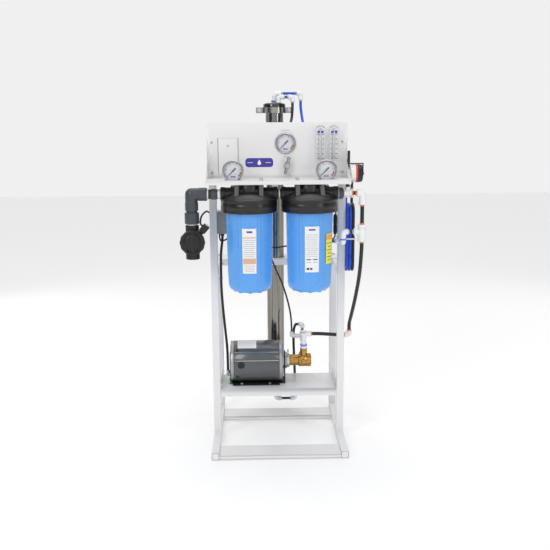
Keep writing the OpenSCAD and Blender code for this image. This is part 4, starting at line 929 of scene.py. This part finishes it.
@piece("solenoid_coil_block", replaces="solenoid_coil", slot="black_plastic", bevel=0.5)
def solenoid_coil(s):
    place = shift(BONNET - Y * 14) @ spin(COIL_TILT, "Y") @ shift((0, 0, 42))
    s.slab((-11, -12, 2), (11, 12, 28), BLACK, place, round_=4.0)
    for z in (7, 12, 17, 22):
        s.slab((-11.4, -9, z), (11.4, 9, z + 1.6), BLACK, place)
    s.lathe(place.to_translation(), place.to_3x3() @ Z, [(5.2, 0.1), (9, 0.1), (9, 2.4)], BLACK, 40)
    s.lathe(place @ Vector((0, 0, 27.9)), place.to_3x3() @ Z,
            [(9, 0), (9, 1.2), (5.2, 1.8), (5.2, 3.0), (TIP, 3.0)], ZINC, 40)


show("solenoid_plunger", REFLECTION_STREAKED_STEEL)


# Side switch
@piece("switch_body_piece", replaces="switch_body", slot="zinc", bevel=0.3)
def switch_body(s):
    c = SWITCH
    s.lathe(c, X, [(14, 0.05), (14, 4.2)], ZINC, 48)
    s.lathe(c, X, [(TIP, 4.05), (28.2, 4.05), (29, 4.8), (29, 25.9), (TIP, 25.9)], WHITE, 96)
    s.ring(c, X, [(28.9, 19.5), (29.12, 19.6), (29.12, 25.8), (28.9, 25.9)], RED, 96)
    for a0, a1 in ((-118, -100), (-90, -70), (-60, -42), (42, 60), (70, 96)):
        for row in range(2):
            verts = []
            for i in range(7):
                a = radians(a0 + (a1 - a0) * i / 6)
                for h in (8.0 + 5 * row, 9.6 + 5 * row):
                    verts.append((c.x + h, c.y - 29.1 * cos(a), c.z + 29.1 * sin(a)))
            faces = [(2 * i, 2 * i + 1, 2 * i + 3, 2 * i + 2) for i in range(6)]
            s.faces(verts, faces, Matrix.Identity(4), PALE_INK)
    s.lathe((225, -84, 896.05), Z,
            [(7, 0), (7, 4), (5.8, 4.6), (5.8, 10.6), (6.6, 11.2), (6.6, 11.9), (TIP, 11.9)], BLACK, 32)
    s.tube(rounded([(225, -84, 907), (226, -83, 911), (232, -78, 913), (238, -74, 914)]), 3.8, BLACK, 20)


@piece("switch_cap_piece", replaces="switch_cap", slot="black_plastic", bevel=0.3)
def switch_cap(s):
    c = SWITCH
    s.lathe(c, X, [(TIP, 26.05), (29, 26.05), (29, 33.5), (28.4, 34.2), (28.2, 38), (26.6, 41.2),
                   (24.8, 42.9), (20, 43.0), (19, 42.3), (12, 42.3), (11, 43.0), (3, 43.0), (3, 47),
                   (TIP, 47)], BLACK, 96)
    s.hexagon(5.5, 0.0, 2.4, ZINC, shift(c + X * 47.05) @ orient(X))


@piece("switch_lever_piece", "lever", replaces="switch_lever", slot="black_plastic", bevel=0.9, bevel_seg=3)
def switch_lever(s):
    c = SWITCH
    s.ring(c, X, [(3.08, 43.5), (7, 43.5), (7, 46.5), (3.08, 46.5)], BLACK, 40)
    s.slab((c.x + 43.5, c.y - 4.8, c.z + 6.2), (c.x + 46.5, c.y + 4.8, c.z + 33.3), BLACK)
    s.slab((c.x - 1.0, c.y - 4.8, c.z + 30.1), (c.x + 46.4, c.y + 4.8, c.z + 33.4), BLACK)
    grip = shift((c.x - 1.5, c.y, c.z + 30.1))
    s.slab((-4.3, -4.4, 0), (4.3, 4.4, 42.9), BLACK, grip, round_=2.6, seg=6)


# Push-in fittings
ELBOWS = (
    ((273, -84, 875.5), (255, -84, 875.5), (273, -84, 838), 12.5),
    ((212, -84, 749), (228, -84, 749), (212, -84, 730), 10),
    ((256, 90, 352), (240, 90, 352), (256, 90, 367), 11.5),
    ((91, 138, 260), (91, 124, 260), (91, 138, 276), 9.5),
    ((52, 138, 336), (66, 138, 336), (52, 138, 350), 8),
    ((91, 138, 380), (80, 138, 380), (91, 138, 368), 9.5),
    ((69, 245, 57), (54, 245, 57), (69, 245, 71), 9.5),
    ((-3, 245, 57), (15, 245, 57), (-3, 245, 92), 9.5),
    ((-3, 245, 1201), (22, 245, 1201), (-3, 245, 1168), 9.5),
    ((91, 245, 1201), (78, 245, 1201), (91, 245, 1178), 9.5),
    ((11, 225, 1188), (30, 225, 1188), (11, 225, 1168), 9),
    ((61, 225, 1188), (46, 225, 1188), (61, 225, 1172), 9.5),
    ((0, 22, 961), (12, 22, 961), (0, 22, 977), 8),
)
TEES = (
    ((212, -84, 875.5), (237, -84, 875.5), 10.5),
    ((225, -84, 883.5), (225, -84, 896), 9),
    ((273, -84, 717), (273, -84, 773), 14),
    ((273, -84, 749), (246, -84, 749), 11),
    ((93, 90, 304), (93, 90, 369), 11),
    ((93, 90, 357), (118, 90, 357), 11),
    ((91, 138, 320), (91, 138, 352), 9.5),
    ((91, 138, 336), (66, 138, 336), 8),
    ((52, 22, 961), (78, 22, 961), 8),
    ((66, 22, 961), (66, 22, 945), 8),
    ((234.56, 48.5, 848), (234.56, 48.5, 876), 8),
    ((254.4, 48.5, 848), (254.4, 48.5, 876), 8),
)
R12, R38, R14 = 6.35, 4.76, 3.175
COLLETS = (((255, FILTER_Y, PORT_Z), -X, R12), ((273, -84, 838), -Z, R12), ((237, FILTER_Y, PORT_Z), X, R12),
           ((273, -84, 773), Z, R12), ((273, -84, 717), -Z, R12), ((256, 90, 367), Z, R12),
           ((240, 90, 352), -X, R12), ((118, 90, 357), X, R12), ((246, -84, 749), -X, R38),
           ((228, -84, 749), X, R38), ((190, -40, 712), -X, R38), ((91, 138, 276), Z, R38),
           ((91, 138, 320), -Z, R38), ((91, 138, 352), Z, R38), ((91, 138, 368), -Z, R38),
           ((80, 138, 380), -X, R38), ((52, 138, 350), Z, R14), ((69, 245, 71), Z, R38),
           ((54, 245, 57), -X, R38), ((15, 245, 57), X, R38), ((22, 245, 1201), X, R38),
           ((78, 245, 1201), -X, R38), ((91, 245, 1178), -Z, R38), ((30, 225, 1188), X, R38),
           ((46, 225, 1188), -X, R38), ((61, 225, 1172), -Z, R38), ((0, 22, 977), Z, R38),
           ((66, 22, 945), -Z, R38), ((78, 22, 961), X, R38), ((140.5, 20, 988), Y, R38),
           ((185.3, 20, 988), Y, R38), ((140.5, 20, 1068), Y, R38), ((185.3, 20, 1068), Y, R38),
           ((234.56, 48.5, 876), Z, R38), ((254.4, 48.5, 876), Z, R38))


def barrel(s, start, end, r, mat):
    """A moulded arm: plain, then a collar round the mouth."""
    start, end = Vector(start), Vector(end)
    axis = end - start
    length = axis.length
    collar = min(9.0, length * 0.45)
    s.lathe(start, axis, [(r * 0.9, 0), (r * 0.9, length - collar - 1), (r * 0.99, length - collar),
                          (r, length - collar + 1), (r, length - 0.9), (r - 0.9, length - 0.05),
                          (r * 0.72, length - 0.05)], mat, 40)


@piece("push_in_elbows", replaces="tube_elbows", slot="white_plastic", bevel=0.25, sharp=38)
def elbows(s):
    for corner, a, b, r in ELBOWS:
        corner, a, b = Vector(corner), Vector(a), Vector(b)
        u, v = (a - corner).normalized(), (b - corner).normalized()
        turn = min(r * 0.9, (a - corner).length * 0.5, (b - corner).length * 0.5)
        bend = []
        for k in range(9):
            t = radians(90) * k / 8
            bend.append(corner + u * turn * (1 - sin(t)) + v * turn * (1 - cos(t)))
        s.tube([corner + u * (turn + 1)] + bend + [corner + v * (turn + 1)], r * 0.86, FITTING, 36)
        barrel(s, corner + u * turn * 0.6, a, r, FITTING)
        barrel(s, corner + v * turn * 0.6, b, r, FITTING)
        rib = [corner + u * r * 0.2 + v * r * 0.2, corner - (u + v) * r * 0.52]
        s.tube(rib, 1.3, FITTING, 12)
    run = [(212, -84, 730), (212, -84, 721), (212, -83, 715.5), (212, -79, 712), (212, -74, 712),
           (212, -50, 712), (211, -44.5, 712), (207, -41, 712), (202, -40, 712), (190.1, -40, 712)]
    s.tube(rounded(run), 8.8, FITTING, 32)
    s.lathe((212, -84, 716), Z, [(9, 0), (9.6, 1), (9.6, 12), (9, 13)], FITTING, 32)


@piece("push_in_tees", replaces="tube_tees", slot="white_plastic", bevel=0.25, sharp=38)
def tees(s):
    for a, b, r in TEES:
        a, b = Vector(a), Vector(b)
        mid = (a + b) / 2
        barrel(s, mid, a, r, FITTING)
        barrel(s, mid, b, r, FITTING)
    s.lathe((273, -84, 745), Z, [(13.4, -14), (14, -13), (14, 13), (13.4, 14)], FITTING, 40)
    s.lathe((93, 90, 357), Z, [(10.4, -11), (11, -10), (11, 10), (10.4, 11)], FITTING, 40)


@piece("push_in_collets", replaces="tube_collets", slot="collet_orange", bevel=0.15, sharp=38)
def collets(s):
    for face, axis, r in COLLETS:
        mat = ORANGE if r == R12 else COLLET_GREY
        s.ring(face, axis, [(r + 0.08, 0.05), (r + 1.0, 0.05), (r + 1.0, 2.4), (r + 1.8, 2.9),
                            (r + 1.8, 4.4), (r + 1.2, 5.0), (r + 0.08, 5.0)], mat, 40)
        for k in range(4):
            d = orient(axis) @ Vector((*polar(1, 45 + 90 * k), 0))
            s.lathe(Vector(face) + Vector(axis) * 3.6 + d * (r + 1.0), d,
                    [(0.9, 0), (0.9, 0.75), (TIP, 0.8)], mat, 10)


show("locking_clips", CLIP, 0.3)


# Tubes and hanks
BLACK_RUNS = (([(242, -84, 875.5), (250, -84, 875.5)], R12), ([(233, -84, 749), (241, -84, 749)], R12),
              ([(91, 138, 281), (91, 138, 315)], R38), ([(91, 138, 357), (91, 138, 363)], R38),
              ([(20, 245, 57), (49, 245, 57)], R38), ([(35, 225, 1188), (41, 225, 1188)], R38),
              ([(273, -84, 833), (273, -84, 812), (273, -84, 778)], R12),
              ([(273, -84, 712), (273, -84, 690), (271, -60, 600), (264, 0, 500), (258, 60, 425),
                (256, 90, 395), (256, 90, 372)], R12),
              ([(235, 90, 352), (212, 90, 352), (150, 90, 357), (123, 90, 357)], R12),
              ([(75, 138, 380), (65, 138, 380), (59, 150, 350), (61, 176, 290), (65, 188, 200),
                (68, 210, 120), (69, 245, 100), (69, 245, 76)], R38),
              ([(52, 138, 355), (52, 138, 375), (48, 145, 430), (22, 165, 524), (-12, 180, 594),
                (-45, 120, 700), (-40, 60, 850), (0, 60, 1000), (27.3, 55, 1033), (27.3, 29, 1033)], R14),
              ([(185, -40, 712), (175, -40, 712), (160, -8, 714), (150, 18, 730), (130, 40, 800),
                (85, 40, 900), (66, 22, 922), (66, 22, 940)], R38),
              ([(61, 225, 1167), (61, 225, 1145), (56, 200, 1100), (30, 110, 1060), (2, 40, 1040),
                (0, 22, 1010), (0, 22, 982)], R38),
              ([(83, 22, 961), (105, 22, 961), (150, 55, 962), (182, 75, 978), (185.3, 55, 988),
                (185.3, 25, 988)], R38),
              ([(185.3, 25, 1068), (185.3, 50, 1068), (206, 66, 1040), (236, 66, 980), (254.4, 56, 920),
                (254.4, 48.5, 900), (254.4, 48.5, 881)], R38))
BLUE_RUNS = (
    ([(27, 245, 1201), (73, 245, 1201)], R38),
    ([(91, 245, 1173), (91, 245, 1150), (96, 215, 1105), (104, 140, 1050), (125, 85, 1000), (140.5, 62, 988),
      (140.5, 25, 988)], R38),
    ([(140.5, 25, 1068), (140.5, 48, 1068), (160, 62, 1050), (200, 56, 1000), (226, 50, 940),
      (234.56, 48.5, 905), (234.56, 48.5, 881)], R38),
)


def tube_runs(name, node, runs, mat, slot):
    s = Shape()
    for points, r in runs:
        s.tube(rounded(points) if len(points) > 2 else points, r, mat, 24)
    return s.finish(name, replaces=node, slot=slot, sharp=60)


tube_runs("black_tube_runs", "black_tubes", BLACK_RUNS, TUBE_BLACK, "tube_black")
tube_runs("blue_tube_runs", "blue_tube", BLUE_RUNS, TUBE_BLUE, "tube_blue")

HANK_R = 28.5
HANK_Y = 20.0
HANK_LOW, HANK_HIGH = 632.0, 800.0
UNION_Z = 848.0
HOSE = 9.5
BEND_STEPS = 16


def hank_path(x_lead, turns, end_step):
    """A hose straight down from its union, then folded round in upright racetrack turns."""
    path = [Vector((x_lead, HANK_Y + HANK_R, z)) for z in (UNION_Z, 832, 816, HANK_HIGH)]
    for turn in range(turns):
        x = x_lead + HOSE * turn
        for k in range(1, 5):
            path.append(Vector((x, HANK_Y + HANK_R, HANK_HIGH + (HANK_LOW - HANK_HIGH) * k / 4)))
        for k in range(1, BEND_STEPS + 1):
            a = pi * k / BEND_STEPS
            path.append(Vector((x, HANK_Y + HANK_R * cos(a), HANK_LOW - HANK_R * sin(a))))
        for k in range(1, 5):
            path.append(Vector((x, HANK_Y - HANK_R, HANK_LOW + (HANK_HIGH - HANK_LOW) * k / 4)))
        last = turn == turns - 1
        for k in range(1, (end_step if last else BEND_STEPS) + 1):
            a = pi * k / BEND_STEPS
            share = 0.0 if last else min(1.0, max(0.0, (k - 4) / 8))
            path.append(Vector((x + HOSE * share, HANK_Y - HANK_R * cos(a), HANK_HIGH + HANK_R * sin(a))))
    return path


def hank(name, node, x_lead, turns, end_step, mat, slot):
    s = Shape()
    path = hank_path(x_lead, turns, end_step)
    s.tube(path, HOSE / 2, mat, 28)
    obj = s.finish(name, replaces=node, slot=slot, sharp=60)
    return obj


@piece("drain_hose_tie", replaces="hank_tie", slot="white_plastic", bevel=0.2)
def hank_tie(s):
    """A flat band round the hank and the upright, with its buckle."""
    outer = [(201.8, -14.9), (261.6, -14.9), (261.6, 55.4), (201.8, 55.4)]
    inner = [(203.1, -13.6), (260.3, -13.6), (260.3, 54.1), (203.1, 54.1)]
    for k in range(4):
        m = (k + 1) % 4
        s.prism([outer[k], outer[m], inner[m], inner[k]], 712.1, 716.9, WHITE)
    s.slab((246, -14.95, 711.9), (253, -13.2, 717.0), WHITE)


hank("blue_drain_hank", "blue_hank", 234.56, 2, 4, TUBE_BLUE, "tube_blue")
hank("black_drain_hank", "black_hank", 254.4, 1, 10, TUBE_BLACK, "tube_black")


# Membrane vessel
@piece("vessel_tube", replaces="vessel_shell", slot="polished_steel", sharp=35)
def vessel_shell(s):
    # The steel's upright streaks are painted reflections.
    for z0, z1 in ((122, 630), (630, 1138)):
        s.lathe(VESSEL, Z, [(31.75, z0), (31.75, z1)], REFLECTION_STREAKED_STEEL, 96)
    for z0, z1 in ((117, 122), (1138, 1143)):
        s.ring(VESSEL, Z, [(28.8, z0), (36.4, z0), (37, z0 + 0.6), (37, z1 - 0.6), (36.4, z1), (28.8, z1)],
               REFLECTION_STREAKED_STEEL, 96)
    s.slab((-14, 212.6, 860), (8, 213.4, 930), PAPER)


@piece("vessel_caps", replaces="vessel_end_caps", slot="cast_steel", bevel=0.3, sharp=35)
def vessel_ends(s):
    up = [(28, 1143.1), (36.4, 1143.1), (37, 1143.7), (37, 1147.4), (36.4, 1148), (34, 1148.4), (34, 1152.9),
          (39.4, 1153), (40, 1153.7), (40, 1163), (39.2, 1164.2), (33, 1167.4), (31.5, 1168), (TIP, 1168)]
    down = [(r, 1260 - z) for r, z in up]
    for outline in (up, down):
        s.lathe(VESSEL, Z, outline[:6], CAST, 96)
        s.lathe(VESSEL, Z, outline[6:], DARK_STEEL, 96)
    s.lathe(VESSEL + Vector((14, -20, 1168)), Z, [(9.0, -0.2), (9.0, 0.1), (TIP, 0.1)], CAST, 24)


show("vessel_clamps", CAST, 0.5)
show("membrane_element", FIBRE)


# Motor and pump
@piece("motor_can", replaces="motor_shell", slot="motor_grey", bevel=0.2, sharp=38)
def motor_shell(s):
    end, n = AXLE - X * 157.4, 162.0
    s.lathe(end, X,
            [(70.1, 0.05), (72.4, 0.05), (73, 0.9), (73, n - 0.9), (72.4, n - 0.05), (70.1, n - 0.05)],
            MOTOR, 160)
    s.lathe(end, X, [(72.4, 3.0), (73.25, 3.4), (73.25, 5.2), (72.4, 5.6)], MOTOR, 160)
    s.lathe(end, X, [(72.4, n - 5.6), (73.25, n - 5.2), (73.25, n - 3.4), (72.4, n - 3.0)], MOTOR, 160)


def curved_plate(s, x0, x1, a0, a1, r, mat, steps=12):
    """A plate that follows the motor can: angles from straight out of the front, upwards."""
    verts, faces = [], []
    for i in range(steps + 1):
        a = radians(a0 + (a1 - a0) * i / steps)
        for x in (x0, x1):
            for q in (r - 0.9, r):
                verts.append((x, AXLE.y - q * cos(a), AXLE.z + q * sin(a)))
    for i in range(steps):
        b = 4 * i
        faces += [(b + 1, b + 3, b + 7, b + 5), (b, b + 4, b + 6, b + 2), (b, b + 1, b + 5, b + 4),
                  (b + 2, b + 6, b + 7, b + 3)]
    faces += [(0, 2, 3, 1), (4 * steps, 4 * steps + 1, 4 * steps + 3, 4 * steps + 2)]
    s.faces(verts, faces, Matrix.Identity(4), mat)


@piece("motor_marks")
def motor_marks(s):
    """The blank nameplate with plain rules, the wiring plug and the drain slots."""
    curved_plate(s, -143, -77, 53, 92, 73.4, PLATE)
    for k, reach in enumerate((-81, -90, -84, -98, -86, -102, -82, -92)):
        curved_plate(s, -139, reach, 87 - 3.8 * k, 87.9 - 3.8 * k, 73.55, PALE_INK)
    plug = spin(-4, "X") @ -Y
    s.lathe(AXLE - X * 130.4 + plug * 71.4, plug,
            [(12.2, 0), (12.2, 2.6), (11.4, 3.5), (8.6, 3.7), (8.0, 2.4), (TIP, 2.4)],
            BLACK, 40)
    for a in (47, -33):
        curved_plate(s, -149, -140, a - 3.6, a + 3.6, 73.5, BLACK)
    # Painted highlights: two thin bright strips along the can stand for the gloss lines the lights make on
    # it.
    for a in (16, 40):
        curved_plate(s, -154, 1.5, a - 0.5, a + 0.5, 73.3, HIGHLIGHT_STRIP)


@piece("motor_end_bells", replaces="motor_endbells", slot="bell_aluminium", bevel=0.35, sharp=35)
def motor_bells(s):
    c = AXLE - X * 157.6
    s.lathe(c, -X, [(72, 0), (72, 8.5), (71.2, 10), (69.4, 11.4), (64, 11.6), (60, 9.4), (40, 8.4),
                    (38, 9.8), (24, 10.6), (22, 11.4), (12, 11.6), (TIP, 11.6)], BELL, 128)
    for k in range(4):
        s.lathe(c + Vector((0, *polar(55, 45 + 90 * k))), -X,
                [(4.2, 7), (4.2, 10.9), (3.4, 11.5), (TIP, 11.6)], ZINC, 20)
    s.tube(rounded([(-171.5, 80, 212), (-178, 80, 212), (-179.8, 80, 214), (-179.8, 80, 228.8)]), 6.4, ZINC,
           28)
    s.lathe((-179.8, 80, 219), Z, [(6.2, -0.2), (7.0, 0), (7.0, 4), (6.4, 4.4)], ZINC, 6)
    d = AXLE + X * 4.8
    s.lathe(d, X, [(72, 0), (72, 7.5), (71.4, 9), (68, 11.6), (60, 11.8), (56, 9.6), (34, 9.0), (31, 11),
                   (30, 13), (30, 26.6), (29, 27.2), (23, 27.2), (22.9, 32.1), (9, 32.1)], BELL, 128)
    for k in range(4):
        s.lathe(d + Vector((0, *polar(48, 45 + 90 * k))), X,
                [(4.2, 8), (4.2, 10.8), (3.4, 11.6), (TIP, 11.7)], ZINC, 20)
    for k in range(8):
        s.slab((31, -1.6, 8.5), (62, 1.6, 11.4), BELL, shift(d) @ spin(45 * k + 22.5, "X") @ orient(X))


@piece("motor_mount_details", bevel=0.2)
def motor_extras(s):
    """Rubber mounting rings and the green earth tail at the motor's left end."""
    s.ring(AXLE, X, [(30.3, 22.5), (34.2, 22.5), (34.8, 23), (34.8, 25.4), (34.2, 25.9), (30.3, 25.9)], SEAL,
           64)
    s.tube(rounded([(-158, 52, 232), (-168, 46, 222), (-173, 44, 206), (-170, 46, 194), (-164, 50, 188.5)]),
           1.5, GREEN, 12)
    s.lathe((-164, 50, 187), Z, [(4, 0), (4, 1.4), (2.6, 1.6), (2.6, 3.4), (TIP, 3.8)], BRASS, 24)


show("motor_base", BLACK_STEEL, 0.5)
show("motor_stator", IRON)
show("motor_rotor", REFLECTION_STREAKED_STEEL)
show("pump_clamp", ZINC, 0.5)


@piece("brass_vane_pump", replaces="pump_body", slot="pump_brass", bevel=0.35, sharp=35)
def pump_body(s):
    s.lathe(AXLE + X * 37.1, X, [(8.6, 0), (22.4, 0), (22.9, 0.6), (22.9, 4.2), (20.6, 6), (19.6, 8),
                                 (19.6, 36), (20.5, 37.2), (22.6, 37.6), (23.5, 38.6), (23.5, 60),
                                 (23.0, 60.8), (23.0, 61.6), (23.5, 62.4), (23.5, 79), (22.0, 81.6),
                                 (18.4, 82.7), (12, 82.9), (11.4, 81.4), (TIP, 81.4)], BRASS, 96)
    s.lathe((93, 90, 262), Z, [(12, 10), (12, 34), (13, 35), (13, 41.3), (12.4, 41.9), (8.1, 41.9)], BRASS,
            48)
    s.hexagon(13.0, 0, 9, BRASS, shift((93, 90, 287)))
    s.lathe((91, 90, 260), Y, [(11, 12), (11, 33.6), (10.4, 33.9), (8, 33.9)], BRASS, 40)
    s.lathe((92, 90, 262), -Y, [(8, 14), (8, 24), (7.4, 24.6), (6.8, 24.8), (6.8, 30), (7.6, 30.4),
                                (7.6, 32.2), (6.6, 33), (2.4, 33), (2.2, 31.8), (TIP, 31.8)], BRASS, 40)
    for x in (82, 106):
        for a in (30, 150, 210, 330):
            s.slab((x - 1, -2, 20), (x + 1, 2, 23.3), BRASS, shift(AXLE) @ spin(a, "X"))


show("pump_rotor", REFLECTION_STREAKED_STEEL)


# Junction box and cables
@piece("junction_box_shell", replaces="junction_box", slot="box_grey", bevel=1.2, bevel_seg=3)
def junction_box(s):
    s.slab((-203.1, 14.1, 732.1), (-127.3, 67.9, 807.9), BOX)
    s.slab((-202.6, 9.4, 732.6), (-127.8, 14.1, 807.4), BOX)
    for x in (-196, -134.4):
        for z in (738.5, 801.5):
            cross_screw(s, (x, 9.4, z), -Y, 3.0, 0.5, REFLECTION_STREAKED_STEEL)
    s.lathe((-188, 40, 732), -Z, [(8, 0), (8, 4), (6.6, 5), (6.6, 9), (4.6, 10)], BLACK, 32)


CABLES = (
    ([(-245.56, -98, 775.58), (-253.02, -98, 782.3), (-250, -80, 806), (-238, -30, 814), (-236, 10, 810),
      (-228, 36, 800), (-216, 40, 786), (-203.2, 40, 786)], 3.0),
    ([(-188, 40, 732), (-188, 40, 710), (-195, 44, 660), (-196, 56, 600), (-197, 62, 540), (-192, 66, 453),
      (-186, 74, 380), (-180.5, 80, 310), (-179.8, 80, 260), (-179.8, 80, 229)], 4.5),
    ([(247, -27.4, 937), (247, 4, 937), (238, 34, 902), (216, 40, 850), (198, 40, 792)], 2.6),
    ([(198, 40, 724), (196, 46, 705), (150, 58, 694), (28, 60, 681), (-15, 60, 673), (-100, 58, 700),
      (-160, 54, 722), (-176, 50, 706), (-194, 46, 702), (-198, 40, 714), (-198, 40, 732)], 2.6),
)


@piece("cable_runs", replaces="cables", slot="cable_black", sharp=50)
def cables(s):
    for points, r in CABLES:
        s.tube(rounded(points), r, CABLE, 20)
    s.lathe((198, 40, 724), Z, [(2.7, 0), (5.6, 0.2), (6.2, 6), (6.9, 8), (6.9, 30), (6.2, 31), (6.2, 36),
                                (6.9, 37), (6.9, 60), (6.2, 62), (5.6, 67.8), (2.7, 68)], CABLE, 40)
    for z in (740, 746, 770, 776):
        s.ring((198, 40, z), Z, [(6.6, 0), (7.0, 0.5), (7.0, 2.0), (6.6, 2.5)], CABLE, 40)
    s.ring((-196.6, 59, 570), Z, [(4.6, -2.4), (5.7, -2.4), (5.7, 2.4), (4.6, 2.4)], INK_BLUE, 28)


# Sizes
def corners(box):
    return [[float(v) for v in corner] for corner in box]
